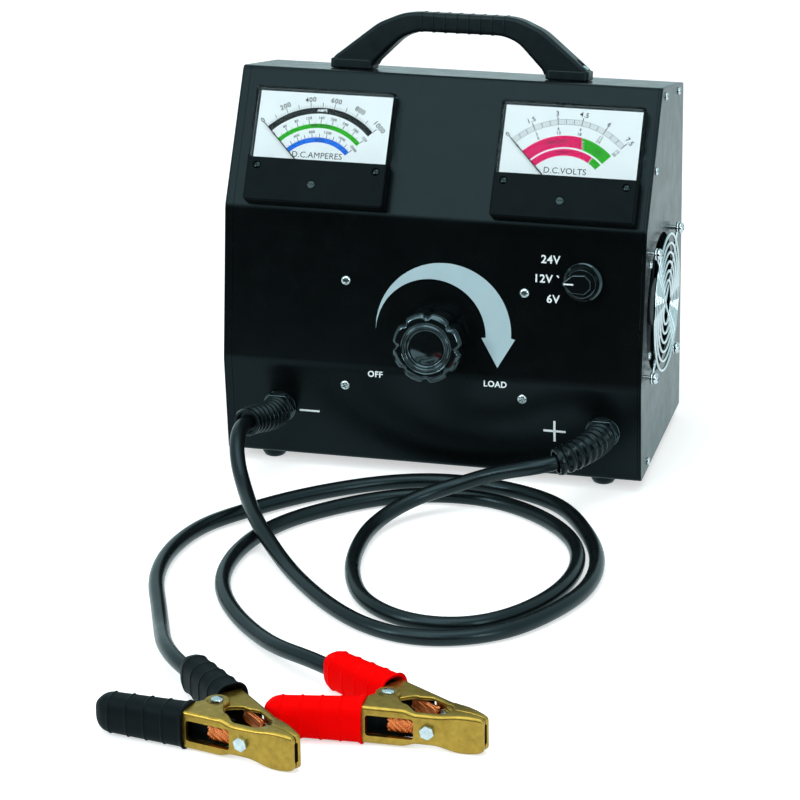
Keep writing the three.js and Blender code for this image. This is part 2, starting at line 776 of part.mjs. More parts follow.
function pileFrame() {
  const span = frameArmSpan / 2;
  const reach = frameArmHeight / 2;
  const plateBack = -frameStandoff - framePlate;
  const plateHalf = controlScrewSpan / 2 + framePlateMargin;
  const plate = block(
    [-plateHalf, plateHalf], [-loadRise - framePlateDrop, framePlateTop - loadRise],
    [plateBack, -frameStandoff]);
  const arms = [-1, 1].map((side) => block(
    [span, span + frameArmThick].map((x) => side * x).sort((a, b) => a - b), [-reach, reach],
    [frameRear - frameArmThick, plateBack + framePlate / 2]));
  const back = block(
    [-span - frameArmThick / 2, span + frameArmThick / 2], [-reach, reach],
    [frameRear - frameArmThick, frameRear]);
  const bosses = controlScrews.map(({ frame, x, y }) => inFrame(frame,
    rod(frameBossRadius, -frameStandoff + (frame === chinFrame ? framePlate : 0) - framePlate / 3,
      -sheet - fitGap, x, y)));
  const holes = controlScrews.map(({ frame, x, y }) => inFrame(frame,
    rod(controlScrewShank + fitGap, -controlScrewLength - fitGap, cutOverrun, x, y)));
  const bore = rod(loadScrewRadius + screwClearance, plateBack - cutOverrun, 0, 0, 0, smallSides);
  const carried = [plate, ...arms, back].map((geometry) => inFrame(loadAxis, geometry));
  const solid = cut(join(...carried, ...bosses), [...holes, inFrame(loadAxis, bore)]);
  return solid.applyMatrix4(loadAxis.matrixWorld.clone().invert());
}

function loadScrew() {
  return rod(loadScrewRadius, screwNose, loadScrewGrip, 0, 0, smallSides);
}

function pressurePlate() {
  return block(
    [-pressPlateWidth / 2, pressPlateWidth / 2], [-pressPlateHeight / 2, pressPlateHeight / 2],
    [pressRear, pressFront]);
}

function carbonPile() {
  const pitch = (pileFront - pileRear) / pileDiscs;
  const profile = [[0, pileRear], [pileRadius, pileRear]];
  for (let disc = 1; disc < pileDiscs; disc += 1) {
    const seam = pileRear + disc * pitch;
    profile.push([pileRadius, seam - pileGroove / 2], [pileRadius - pileGrooveDepth, seam],
      [pileRadius, seam + pileGroove / 2]);
  }
  profile.push([pileRadius, pileFront], [0, pileFront]);
  return turned(profile, roundSides);
}

addPart('load_knob', loadKnob(), 'plasticBlack', loadAxis);
addPart('load_screw', loadScrew(), 'zinc', loadAxis);
addPart('pressure_plate', pressurePlate(), 'zinc', loadAxis);
addPart('carbon_pile', carbonPile(), 'carbon', loadAxis);
addPart('pile_frame', pileFrame(), 'zinc', loadAxis);

// Voltage selector
const selectorAxis = new THREE.Group();
selectorAxis.position.set(selectorX, selectorRise, 0);
controlFrame.add(selectorAxis);

function selectorKnob() {
  const skirtLow = 2 * fitGap;
  const pocket = selectorBushRadius + screwClearance;
  const body = turned([
    [0, -selectorShaftDepth], [selectorShaft, -selectorShaftDepth],
    [selectorShaft, selectorBushRise + fitGap],
    [pocket, selectorBushRise + fitGap], [pocket, skirtLow], [selectorSkirtRadius, skirtLow],
    [selectorSkirtRadius, skirtLow + selectorSkirtDepth * 0.4],
    [selectorSkirtRadius * 0.82, skirtLow + selectorSkirtDepth],
    [selectorBushRadius * 1.5, selectorBarTop * 0.8], [0, selectorBarTop * 0.8],
  ]);
  const bar = block(
    [-selectorBarLength / 2, selectorBarLength / 2], [-selectorBarWidth / 2, selectorBarWidth / 2],
    [skirtLow + selectorSkirtDepth * 0.3, selectorBarTop]);
  const bushRoom = rod(pocket, 0, selectorBushRise + fitGap);
  const room = cut(bushRoom, [rod(selectorShaft, -cutOverrun, selectorBarTop, 0, 0, roundSides)]);
  return cut(join(body, bar), [room]);
}

function selectorSwitch() {
  const low = -sheet - fitGap - selectorBodyDepth;
  return turned([
    [selectorShaft + fitGap, -selectorShaftDepth - fitGap], [0, -selectorShaftDepth - fitGap], [0, low],
    [selectorBodyRadius, low], [selectorBodyRadius, -sheet - fitGap], [selectorBushRadius, -sheet - fitGap],
    [selectorBushRadius, selectorBushRise], [selectorShaft + fitGap, selectorBushRise],
    [selectorShaft + fitGap, -selectorShaftDepth - fitGap],
  ]);
}

addPart('selector_knob', selectorKnob(), 'plasticBlack', selectorAxis);
addPart('selector_switch', selectorSwitch(), 'plasticBlack', selectorAxis);

// Fan, in a frame whose Z points out of the right side
const fanFront = -rightLip - fitGap;
const fanRear = fanFront - fanThick;

function fanFrame() {
  const shell = block([-fanSize / 2, fanSize / 2], [-fanSize / 2, fanSize / 2], [fanRear, fanFront]);
  const holes = corners.map(([side, level]) =>
    rod(fanScrewShank + fitGap, fanRear - cutOverrun, fanFront + cutOverrun,
      side * fanScrewPitch / 2, level * fanScrewPitch / 2));
  const bore = rod(fanBore, fanRear - cutOverrun, fanFront + cutOverrun, 0, 0, roundSides * 2);
  const ring = cut(shell, [bore, ...holes]);
  const struts = [0, 1, 2].map((index) => block(
    [0, fanBore + cutOverrun / 2], [-fanStrutWidth / 2, fanStrutWidth / 2],
    [fanRear, fanRear + fanMotorThick])
    .rotateZ(Math.PI / 2 + index * 2 * Math.PI / 3));
  return join(ring, ...struts, rod(fanMotorRadius, fanRear, fanRear + fanMotorThick, 0, 0, roundSides));
}

function fanRotor() {
  const low = fanRear + fanMotorThick + fitGap;
  const high = fanFront - 2 * fitGap;
  const middle = (low + high) / 2;
  const blades = [];
  for (let index = 0; index < fanBladeCount; index += 1) {
    const blade = block(
      [fanHubRadius * 0.8, fanBladeReach], [-fanBladeChord / 2, fanBladeChord / 2],
      [-fanBladeThick / 2, fanBladeThick / 2]).rotateX(fanBladePitch);
    blades.push(blade.translate(0, 0, middle).rotateZ(index / fanBladeCount * 2 * Math.PI));
  }
  return join(rod(fanHubRadius, low, high, 0, 0, roundSides), ...blades);
}

// The guard is one welded wire piece: rings, two crossing spokes and a loop at each screw
function fanGuard() {
  const plane = guardStandoff + guardWire;
  const rings = [];
  for (let index = 0; index < guardRings; index += 1) {
    rings.push(new THREE.TorusGeometry(
      guardOuter - index * guardRingPitch, guardWire, wireSides, ringSteps).translate(0, 0, plane));
  }
  const reach = fanScrewPitch / Math.SQRT2;
  const spoke = rod(guardWire, -reach + guardLoop, reach - guardLoop, 0, 0, wireSides);
  const spokes = [0, 1].map((index) => spoke.clone()
    .rotateX(Math.PI / 2).rotateZ(Math.PI / 4 + index * Math.PI / 2).translate(0, 0, plane - guardWire));
  const loop = new THREE.TorusGeometry(guardLoop, guardWire, wireSides, screwSides);
  const loops = corners.map(([side, level]) => loop.clone()
    .translate(side * fanScrewPitch / 2, level * fanScrewPitch / 2, plane - guardWire));
  return join(...rings, ...spokes, ...loops);
}

addPart('fan_frame', fanFrame(), 'plasticBlack', fanAxis);
addPart('fan_rotor', fanRotor(), 'plasticBlack', fanAxis);
addPart('fan_guard', fanGuard(), 'chrome', fanAxis);
corners.forEach(([side, level], index) => {
  const shankLength = guardStandoff + guardWire - fanFront + fanThick / 2;
  const screw = addPart(
    `fan_screw_${index + 1}`, panHead(fanScrewHead, fanScrewHeadHeight, fanScrewShank, shankLength), 'zinc',
    fanAxis);
  screw.position.set(side * fanScrewPitch / 2, level * fanScrewPitch / 2, guardStandoff + guardWire);
});

// Shunt: two end blocks and the strip between them
function currentShunt() {
  const low = footHeight + sheet + fitGap;
  const blockAt = (side) => block(
    [side * shuntLength / 2, side * (shuntLength / 2 - shuntBlock)].sort((a, b) => a - b),
    [-shuntWidth / 2, shuntWidth / 2], [low, low + shuntBlockHeight]);
  const middle = low + shuntBlockHeight / 2;
  const strip = block(
    [(shuntBlock - shuntLength) / 2, (shuntLength - shuntBlock) / 2], [-shuntWidth / 3, shuntWidth / 3],
    [middle - shuntStrip / 2, middle + shuntStrip / 2]);
  return join(blockAt(-1), blockAt(1), strip).translate(shuntX, shuntBack, 0);
}

addPart('current_shunt', currentShunt(), 'copper');

// A closed skin over a list of rings, with both ends capped
function loft(rings) {
  const sides = rings[0].length;
  const positions = rings.flatMap((ring) => ring.flatMap((point) => point.toArray()));
  const indices = [];
  for (let row = 0; row < rings.length - 1; row += 1) {
    for (let side = 0; side < sides; side += 1) {
      const next = (side + 1) % sides;
      const [a, b] = [row * sides + side, row * sides + next];
      indices.push(a, b, b + sides, a, b + sides, a + sides);
    }
  }
  for (const [row, flip] of [[0, false], [rings.length - 1, true]]) {
    const sum = rings[row].reduce((total, point) => total.add(point), new THREE.Vector3());
    const middle = sum.divideScalar(sides);
    const hub = positions.length / 3;
    positions.push(...middle.toArray());
    for (let side = 0; side < sides; side += 1) {
      const [a, b] = [row * sides + side, row * sides + (side + 1) % sides];
      indices.push(hub, flip ? a : b, flip ? b : a);
    }
  }
  const geometry = new THREE.BufferGeometry();
  geometry.setAttribute('position', new THREE.Float32BufferAttribute(positions, 3));
  geometry.setIndex(indices);
  return geometry;
}

// Rings along a curve, with the radius as a function of the share of the length
function sweptRings(curve, steps, sides, radiusAt) {
  const frames = curve.computeFrenetFrames(steps, false);
  const rings = [];
  for (let step = 0; step <= steps; step += 1) {
    const centre = curve.getPointAt(step / steps);
    const radius = radiusAt(step / steps);
    const ring = [];
    for (let side = 0; side < sides; side += 1) {
      const turn = side / sides * 2 * Math.PI;
      ring.push(centre.clone()
        .addScaledVector(frames.normals[step], Math.cos(turn) * radius)
        .addScaledVector(frames.binormals[step], Math.sin(turn) * radius));
    }
    rings.push(ring);
  }
  return rings;
}

function asVectors(points) {
  return points.map((point) => new THREE.Vector3(...point));
}

// Clamps: points are given along an arm, as the distance back from the nose and in from its outer face.
// The arm that moves is bent outward where its grip starts.
function armPoint(back, inward, side) {
  const straight = Math.min(back, sleeveStart);
  const turn = back > sleeveStart && side < 0 ? armTurn + gripTurn : armTurn;
  const rest = back - straight;
  const x = noseReach - straight * Math.cos(armTurn) - rest * Math.cos(turn) - inward * Math.sin(turn);
  const y = noseHalf + straight * Math.sin(armTurn) + rest * Math.sin(turn) - inward * Math.cos(turn);
  return new THREE.Vector2(x, side * y);
}

function plateOf(points, low, high) {
  const plate = new THREE.ExtrudeGeometry(
    new THREE.Shape(points), { depth: high - low, bevelEnabled: false });
  return plate.translate(0, 0, low);
}

// A stamped channel: a deep nose, a low lip up to the step, then a flange with the ear of the pin
function armJaw(side, halfHeight) {
  const arm = (back, inward) => armPoint(back, inward, side);
  const strip = (from, to, depth) => [arm(from, 0), arm(to, 0), arm(to, depth), arm(from, depth)];
  const lipHeight = Math.min(lipHalfHeight, halfHeight);
  const faces = [noseReach - noseLength, noseReach].map((x) => new THREE.Vector2(x, side * fitGap / 2));
  const inner = [arm(noseLength + armWeb, armWeb), ...faces];
  const web = [arm(0, 0), arm(armTangStart, 0), arm(armTangStart, armWeb), ...inner];
  const nose = [arm(0, 0), arm(noseFlare, 0), arm(noseFlare, armWeb), ...inner];
  const lip = [
    arm(noseLength, armWeb / 2), arm(flangeStep + armWeb, armWeb / 2), arm(flangeStep + armWeb, lipDepth),
    arm(noseLength + lipDepth, lipDepth)];
  const earSpread = earRadius * earSpreadShare;
  const earRise = side * earRadius * earRiseShare;
  const ear = [
    arm(earStart, armWeb / 2), arm(armTangStart - armWeb, armWeb / 2),
    new THREE.Vector2(-earSpread, earRise), new THREE.Vector2(earSpread, earRise)];
  const flange = strip(flangeStep, armTangStart, flangeDepth);
  const pieces = [
    plateOf(web, -lipHeight, lipHeight), plateOf(nose, -noseDrop, noseRise),
    plateOf(strip(flangeStep, armTangStart, armWeb), -halfHeight, halfHeight),
    plateOf(strip(armTangStart - armWeb, armLength, armWeb), -tangHalfHeight, tangHalfHeight)];
  for (const level of [-1, 1]) {
    const between = (height) => [level * height, level * (height - flangeThick)].sort((a, b) => a - b);
    pieces.push(
      plateOf(lip, ...between(lipHeight)), plateOf(flange, ...between(halfHeight)),
      plateOf(ear, ...between(halfHeight)), rod(earRadius, ...between(halfHeight), 0, 0, roundSides));
  }
  const opening = [
    arm(windowStart, -cutOverrun), arm(windowEnd, -cutOverrun), arm(windowEnd, armWeb + cutOverrun),
    arm(windowStart, armWeb + cutOverrun)];
  return cut(join(...pieces), [
    plateOf(opening, -windowHalfHeight, windowHalfHeight),
    rod(pinRadius + fitGap, -halfHeight - cutOverrun, halfHeight + cutOverrun, 0, 0, smallSides),
  ]);
}

function gripSleeve(side, withLead) {
  const middle = sleeveThick / 2 - sleeveOutside;
  const cornerPower = 0.7;
  const ringAt = (back, scale) => {
    const ring = [];
    for (let index = 0; index < sleeveSides; index += 1) {
      const turn = side * index / sleeveSides * 2 * Math.PI;
      const spread = (value) => Math.sign(value) * Math.abs(value) ** cornerPower;
      const inward = middle + spread(Math.cos(turn)) * sleeveThick / 2 * scale;
      const place = armPoint(back, inward, side);
      ring.push(new THREE.Vector3(place.x, place.y, spread(Math.sin(turn)) * sleeveHalfHeight * scale));
    }
    return ring;
  };
  const span = (sleeveEnd - sleeveDome - sleeveStart) / sleeveRibs;
  const low = 1 - sleeveRib / sleeveHalfHeight;
  const taper = (rib) => THREE.MathUtils.lerp(1, sleeveTaperShare, rib / sleeveRibs);
  const rings = [];
  for (let rib = 0; rib < sleeveRibs; rib += 1) {
    rings.push(ringAt(sleeveStart + rib * span, taper(rib)));
    rings.push(ringAt(sleeveStart + (rib + sleeveRibShare) * span, taper(rib + 1) * low));
  }
  const domeShares = [[0, 1], [0.6, 0.82], [1, 0.5]];
  for (const [reach, share] of domeShares) {
    rings.push(ringAt(sleeveEnd - sleeveDome * (1 - reach), share * sleeveTaperShare));
  }
  const body = loft(rings);
  const tangRoom = plateOf([
    armPoint(sleeveStart - cutOverrun, -fitGap, side), armPoint(armLength + fitGap, -fitGap, side),
    armPoint(armLength + fitGap, armWeb + fitGap, side),
    armPoint(sleeveStart - cutOverrun, armWeb + fitGap, side),
  ], -tangHalfHeight - fitGap, tangHalfHeight + fitGap);
  const webRoom = plateOf([
    armPoint(sleeveStart - cutOverrun, -fitGap, side), armPoint(armTangStart + fitGap, -fitGap, side),
    armPoint(armTangStart + fitGap, flangeDepth + fitGap, side),
    armPoint(sleeveStart - cutOverrun, flangeDepth + fitGap, side),
  ], -nearHalfHeight - fitGap, nearHalfHeight + fitGap);
  const rooms = [tangRoom, webRoom];
  if (withLead) {
    const from = armPoint(sleeveStart - cutOverrun, leadInset, side);
    const to = armPoint(sleeveEnd + cutOverrun, leadInset, side);
    const ends = [from, to].map(({ x, y }) => new THREE.Vector3(x, y, 0));
    const run = new THREE.LineCurve3(...ends);
    rooms.push(loft(sweptRings(run, 1, smallSides, () => leadRadius + 2 * fitGap)));
  }
  return cut(body, rooms);
}

function pivotPin() {
  const half = nearHalfHeight + fitGap;
  return turned([
    [0, -half - pinHeadHeight], [pinHeadRadius * pinHeadTopShare, -half - pinHeadHeight], [pinHeadRadius, -half],
    [pinRadius, -half], [pinRadius, half], [pinHeadRadius, half],
    [pinHeadRadius * pinHeadTopShare, half + pinHeadHeight], [0, half + pinHeadHeight],
  ], smallSides);
}

class TorsionSpringCurve extends THREE.Curve {
  getPoint(share, target = new THREE.Vector3()) {
    const coil = 2 * Math.PI * springCoilRadius * springCoils;
    const total = coil + 2 * springLegLength;
    const along = share * total - springLegLength;
    const turn = THREE.MathUtils.clamp(along / coil, 0, 1) * springCoils * 2 * Math.PI;
    const past = along < 0 ? along : Math.max(along - coil, 0);
    const rise = (turn / (2 * Math.PI) - springCoils / 2) * springPitch;
    return target.set(
      springCoilRadius * Math.cos(turn) - past * Math.sin(turn),
      springCoilRadius * Math.sin(turn) + past * Math.cos(turn), rise);
  }
}

function clampSpring() {
  const steps = springCoils * coilSteps + 4;
  const spring = loft(sweptRings(new TorsionSpringCurve(), steps, wireSides, () => springWire));
  return spring.rotateZ(-Math.PI / 2);
}

function addClamp(sign, sleeveFinish, x, back, turn) {
  const clamp = new THREE.Group();
  clamp.position.set(x, back, clampHeight);
  clamp.rotation.z = turn;
  tester.add(clamp);
  addPart(`${sign}_clamp_fixed_jaw`, armJaw(1, nearHalfHeight - flangeThick - fitGap), 'brass', clamp);
  addPart(`${sign}_clamp_moving_jaw`, armJaw(-1, nearHalfHeight), 'brass', clamp);
  addPart(`${sign}_clamp_fixed_grip`, gripSleeve(1, true), sleeveFinish, clamp);
  addPart(`${sign}_clamp_moving_grip`, gripSleeve(-1, false), sleeveFinish, clamp);
  addPart(`${sign}_clamp_pin`, pivotPin(), 'zinc', clamp);
  addPart(`${sign}_clamp_spring`, clampSpring(), 'zinc', clamp);
  clamp.updateWorldMatrix(true, false);
  const leadAt = (distance) => {
    const place = armPoint(distance, leadInset, 1);
    return new THREE.Vector3(place.x, place.y, 0).applyMatrix4(clamp.matrixWorld);
  };
  return [sleeveEnd + clampStraight, sleeveEnd, (sleeveEnd + leadCrimp) / 2, leadCrimp].map(leadAt);
}

// Glands, boots and leads
function glandNut() {
  const nut = rod(glandNutRadius, fitGap, fitGap + glandNutLength, 0, 0, 6);
  return join(nut, rod(glandThreadRadius, -glandThreadLength, glandNutLength / 2, 0, 0, roundSides));
}

function ribbedBoot(curve) {
  const steps = bootRibs * 2;
  const taper = (share) => THREE.MathUtils.lerp(bootRootRadius, bootTipRadius, share);
  const radiusAt = (share) => taper(share) - (Math.round(share * steps) % 2 ? bootRibDepth : 0);
  return loft(sweptRings(curve, steps, bootSides, radiusAt));
}

function leadTube(curve, steps) {
  const section = new THREE.Shape();
  for (let side = 0; side < leadSides; side += 1) {
    const turn = side / leadSides * 2 * Math.PI;
    const [x, y] = [Math.cos(turn) * leadRadius, Math.sin(turn) * leadRadius];
    if (side) section.lineTo(x, y);
    else section.moveTo(x, y);
  }
  return new THREE.ExtrudeGeometry(section, { steps, extrudePath: curve, bevelEnabled: false });
}

// One stretch of a longer curve, between two distances along it
class Stretch extends THREE.Curve {
  constructor(whole, from, to) {
    super();
    const length = whole.getLength();
    Object.assign(this, { whole, fromShare: from / length, toShare: to / length });
  }

  getPoint(share, target = new THREE.Vector3()) {
    return this.whole.getPointAt(THREE.MathUtils.lerp(this.fromShare, this.toShare, share), target);
  }
}

// A boot and its lead follow one curve from the nut to the clamp
function addLead({ sign, x }, bootLength, bootRoute, leadRoute, steps, clampEnd) {
  const nut = addPart(`${sign}_gland_nut`, glandNut(), 'plasticBlack', chinFrame);
  nut.position.set(x, -glandDrop, 0);
  nut.updateWorldMatrix(true, false);
  const root = [0, bootStraight].map((rise) =>
    new THREE.Vector3(0, 0, 2 * fitGap + glandNutLength + rise).applyMatrix4(nut.matrixWorld));
  const besideGland = bootRoute.map(([across, back, up]) => [x + across, back, up]);
  const route = [...root, ...asVectors([...besideGland, ...leadRoute]), ...clampEnd];
  const whole = new THREE.CatmullRomCurve3(route, false, 'centripetal');
  whole.arcLengthDivisions = steps * steps;
  const length = whole.getLength();
  addPart(`${sign}_boot`, ribbedBoot(new Stretch(whole, 0, bootLength)), 'rubberBlack');
  addPart(`${sign}_lead`, leadTube(new Stretch(whole, bootLength + fitGap, length), steps), 'rubberBlack');
  console.error(`${sign} lead length ${(length - bootLength).toFixed(0)} mm`);
}

const minusEnd = addClamp('minus', 'rubberBlack', minusClampX, minusClampBack, minusClampTurn);
const plusEnd = addClamp('plus', 'rubberRed', plusClampX, plusClampBack, plusClampTurn);
addLead(minusGland, minusBootLength, minusBootRoute, minusLeadRoute, minusLeadSteps, minusEnd);
addLead(plusGland, plusBootLength, plusBootRoute, plusLeadRoute, plusLeadSteps, plusEnd);

// The origin is under the middle of everything but the leads and what hangs on them
const onLeads = /^(minus|plus)_(boot|lead|clamp)/;
const extent = new THREE.Box3();
tester.updateMatrixWorld(true);
tester.traverse((node) => {
  if (node.isMesh && !onLeads.test(node.name)) extent.expandByObject(node, true);
});
const middle = extent.getCenter(new THREE.Vector3()).setZ(extent.min.z);
tester.children.forEach((child) => child.position.sub(middle));
console.error(`origin shift ${middle.toArray().map((value) => value.toFixed(3)).join(' ')}`);

export default tester;
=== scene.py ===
"""Looks of a carbon pile battery tester: steel case, two panel meters, fan, two leads with brass clamps.

Pieces are drawn in millimetres in the frame of the face that carries them, and are then put in their
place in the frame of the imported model, in metres.
"""

import logging
import math
from contextlib import contextmanager
from dataclasses import dataclass
from enum import Enum
from itertools import product
from typing import Iterator, Sequence

import bmesh
import bpy
from mathutils import Matrix, Vector


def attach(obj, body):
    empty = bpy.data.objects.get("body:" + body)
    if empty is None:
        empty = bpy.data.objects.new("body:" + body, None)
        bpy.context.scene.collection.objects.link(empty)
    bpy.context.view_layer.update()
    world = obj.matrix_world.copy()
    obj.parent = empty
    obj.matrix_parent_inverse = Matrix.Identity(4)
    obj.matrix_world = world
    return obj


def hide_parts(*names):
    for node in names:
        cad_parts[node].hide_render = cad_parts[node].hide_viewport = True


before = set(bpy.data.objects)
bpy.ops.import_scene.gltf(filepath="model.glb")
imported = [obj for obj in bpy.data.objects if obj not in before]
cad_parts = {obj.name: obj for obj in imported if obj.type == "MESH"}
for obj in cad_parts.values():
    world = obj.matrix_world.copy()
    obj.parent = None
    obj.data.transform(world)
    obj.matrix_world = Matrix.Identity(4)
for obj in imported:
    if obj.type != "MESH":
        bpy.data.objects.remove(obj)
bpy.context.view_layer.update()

logging.basicConfig(level=logging.INFO, format="%(message)s")
log = logging.getLogger("battery_tester")

MM = 0.001
ORIGIN_ACROSS = 5.075
ORIGIN_BACK = 76.005
CASE_HALF = 179.0
FULL_TURN = 2 * math.pi
INK_THICK = 0.05

# Places that a hole and its piece share, in millimetres in the frame of their face
METERS_UP = 52.0
AMMETER_ACROSS = -100.5
VOLTMETER_ACROSS = 109.5
LOAD_KNOB = (3.0, 28.0)
SELECTOR = (128.0, 88.0)
GLANDS_UP = -40.0
MINUS_GLAND = -131.0
PLUS_GLAND = 147.0
FRAME_SCREWS = {"left": -73.0, "right": 79.0}
UPPER_SCREWS_UP = 75.0
LOWER_SCREWS_UP = -15.5
FAN_SCREW = 52.5
HANDLE_SCREW = 104.0
COVER_SCREW = 51.0
COVER_SCREWS_UP = -19.3
ZERO_SCREW_UP = -33.7

Piece = bpy.types.Object
Tree = bpy.types.NodeTree
Node = bpy.types.Node
Socket = bpy.types.NodeSocket
Point = tuple[float, float]
Triple = tuple[float, float, float]
Ring = Sequence[Vector]


class Pick(Enum):
    """What an edit mode selection is made of."""

    FACES = "FACE"
    EDGES = "EDGE"
    VERTICES = "VERT"


# Frames of the faces

def move(across: float = 0.0, along: float = 0.0, out: float = 0.0) -> Matrix:
    """Returns a translation."""
    return Matrix.Translation((across, along, out))


def turn(degrees: float, axis: str = "Z") -> Matrix:
    """Returns a rotation about one axis."""
    return Matrix.Rotation(math.radians(degrees), 4, axis)


def tilted(back: float, up: float, lean: float) -> Matrix:
    """Gives the frame of a flat of the case's front, with Z out of the sheet.

    Args:
        back: distance of the flat's start from the case's front edge.
        up: height of the flat's start.
        lean: angle of the flat from the horizontal, in degrees.

    Returns:
        The frame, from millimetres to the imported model's metres.
    """
    return CASE @ move(0, back, up) @ turn(lean, "X")


CASE = Matrix.Diagonal((MM, MM, MM, 1)) @ move(-ORIGIN_ACROSS, -ORIGIN_BACK, 0)
CHIN = tilted(-6, 94, 94.086)
CONTROL = tilted(-6, 94, 82.146)
METER_SLOPE = tilted(12, 224.5, 57.87)
TOP = tilted(77, 328, -12.829)
ACROSS = Matrix(((0, 0, 1, 0), (1, 0, 0, 0), (0, 1, 0, 0), (0, 0, 0, 1)))
SIDE = CASE @ ACROSS
LEFT_SIDE = CASE @ Matrix(((0, 0, -1, 0), (-1, 0, 0, 0), (0, 1, 0, 0), (0, 0, 0, 1)))
REAR = CASE @ move(0, 186, 10) @ turn(180) @ turn(90 - math.degrees(math.atan2(8, 295)), "X")
FAN = CASE @ move(CASE_HALF, 74, 144) @ turn(-6, "X") @ ACROSS


# Modelling helpers

def activate(*pieces: Piece) -> None:
    """Makes these pieces the only selected ones, the first one active.

    Args:
        *pieces: the pieces to select.
    """
    bpy.ops.object.select_all(action="DESELECT")
    for piece in pieces:
        piece.select_set(True)
    bpy.context.view_layer.objects.active = pieces[0]


@contextmanager
def editing(piece: Piece, kind: Pick = Pick.FACES) -> Iterator[None]:
    """Holds a piece in edit mode with nothing selected.

    Args:
        piece: the piece to edit.
        kind: what the selection is made of.
    """
    activate(piece)
    bpy.ops.object.mode_set(mode="EDIT")
    bpy.ops.mesh.select_mode(type=kind.value)
    bpy.ops.mesh.select_all(action="DESELECT")
    try:
        yield
    finally:
        bpy.ops.object.mode_set(mode="OBJECT")


def place_selected(piece: Piece, known: dict, ring: Ring) -> dict:
    """Moves the selected ring of vertices onto the points of a new ring.

    Args:
        piece: the piece in edit mode.
        known: the index in the ring of each place that a selected vertex is at.
        ring: the points to move to.

    Returns:
        The index in the ring of each new place.
    """
    mesh = bmesh.from_edit_mesh(piece.data)
    places = {}
    for vertex in mesh.verts:
        if vertex.select:
            index = known[tuple(vertex.co)]
            vertex.co = ring[index]
            places[tuple(vertex.co)] = index
    bmesh.update_edit_mesh(piece.data)
    return places


def loft(name: str, rings: Sequence[Ring], open_start: bool = False, open_end: bool = False) -> Piece:
    """Draws one ring and extrudes it from ring to ring.

    Args:
        name: the piece's name.
        rings: rings of the same number of points.
        open_start: leaves the first ring without a face.
        open_end: leaves the last ring without a face.

    Returns:
        The new piece, with its faces outward.
    """
    fill = "NOTHING" if open_start else "NGON"
    bpy.ops.mesh.primitive_circle_add(vertices=len(rings[0]), radius=1, fill_type=fill)
    piece = bpy.context.object
    piece.name = name
    piece.data.name = name
    known = {tuple(vertex.co): index for index, vertex in enumerate(piece.data.vertices)}
    with editing(piece, Pick.EDGES):
        bpy.ops.mesh.select_all(action="SELECT")
        known = place_selected(piece, known, rings[0])
        for ring in rings[1:]:
            bpy.ops.mesh.extrude_edges_move()
            known = place_selected(piece, known, ring)
        if not open_end:
            bpy.ops.mesh.edge_face_add()
        bpy.ops.mesh.select_all(action="SELECT")
        bpy.ops.mesh.normals_make_consistent(inside=False)
    return piece


def polar(radius: float, angle: float) -> Vector:
    """Returns the flat point at a distance and an angle from the origin."""
    return Vector((radius * math.cos(angle), radius * math.sin(angle)))


def circle(radius: float, height: float = 0.0, sides: int = 64) -> Ring:
    """Returns a ring of points about Z."""
    return [Vector((*polar(radius, FULL_TURN * index / sides), height)) for index in range(sides)]


def lathe(name: str, profile: Sequence[Point], sides: int = 64) -> Piece:
    """Returns a round piece from its (radius, height) profile."""
    return loft(name, [circle(radius, height, sides) for radius, height in profile])


def slab(name: str, outline: Sequence[Point], low: float, high: float) -> Piece:
    """Returns a flat outline extruded from one height to another."""
    return loft(name, [[Vector((x, y, z)) for x, y in outline] for z in (low, high)])


def bore(radius: float, low: float, high: float, place: Matrix, sides: int = 40) -> Piece:
    """Returns a round cutter between two heights, in its place."""
    return shifted(lathe("cutter", [(radius, low), (radius, high)], sides), place)


def hexagon(name: str, radius: float, low: float, high: float, chamfer: float, segments: int) -> Piece:
    """Returns a hexagonal head or nut between two heights, with chamfered edges."""
    corners = [polar(radius, FULL_TURN * k / 6) for k in range(6)]
    return soften(slab(name, corners, low, high), chamfer, segments)


def box(name: str, x: Sequence[float], y: Sequence[float], z: Sequence[float]) -> Piece:
    """Returns a block between two limits on each axis."""
    return slab(name, [(x[0], y[0]), (x[1], y[0]), (x[1], y[1]), (x[0], y[1])], *z)


def printed(name: str, outline: Sequence[Point], place: Matrix) -> Piece:
    """Returns a thin print with an outline, in its place."""
    return shifted(slab(name, outline, 0, INK_THICK), place)


def modify(piece: Piece, kind: str, **settings: object) -> None:
    """Adds one modifier, with its settings, and applies it.

    Args:
        piece: the piece to change.
        kind: Blender's name for the modifier.
        **settings: the modifier's own settings.
    """
    activate(piece)
    modifier = piece.modifiers.new(kind.title(), kind)
    for name, value in settings.items():
        setattr(modifier, name, value)
    bpy.ops.object.modifier_apply(modifier=modifier.name)


def soften(piece: Piece, width: float, segments: int = 3, angle: float = 32.0) -> Piece:
    """Returns the piece with its sharp edges rounded to a width.

    Args:
        piece: the piece to change.
        width: width of the rounding.
        segments: steps across it.
        angle: the least angle of a sharp edge, in degrees.

    Returns:
        The piece.
    """
    modify(piece, "BEVEL", width=width, segments=segments, limit_method="ANGLE",
           angle_limit=math.radians(angle), use_clamp_overlap=True, miter_outer="MITER_ARC")
    return piece


def carve(piece: Piece, *cutters: Piece) -> Piece:
    """Cuts other pieces out of a piece and deletes them.

    Args:
        piece: the piece that stays.
        *cutters: the closed pieces to take away.

    Returns:
        The piece that stays.
    """
    for cutter in cutters:
        modify(piece, "BOOLEAN", operation="DIFFERENCE", solver="EXACT", object=cutter)
        bpy.data.objects.remove(cutter)
    return piece


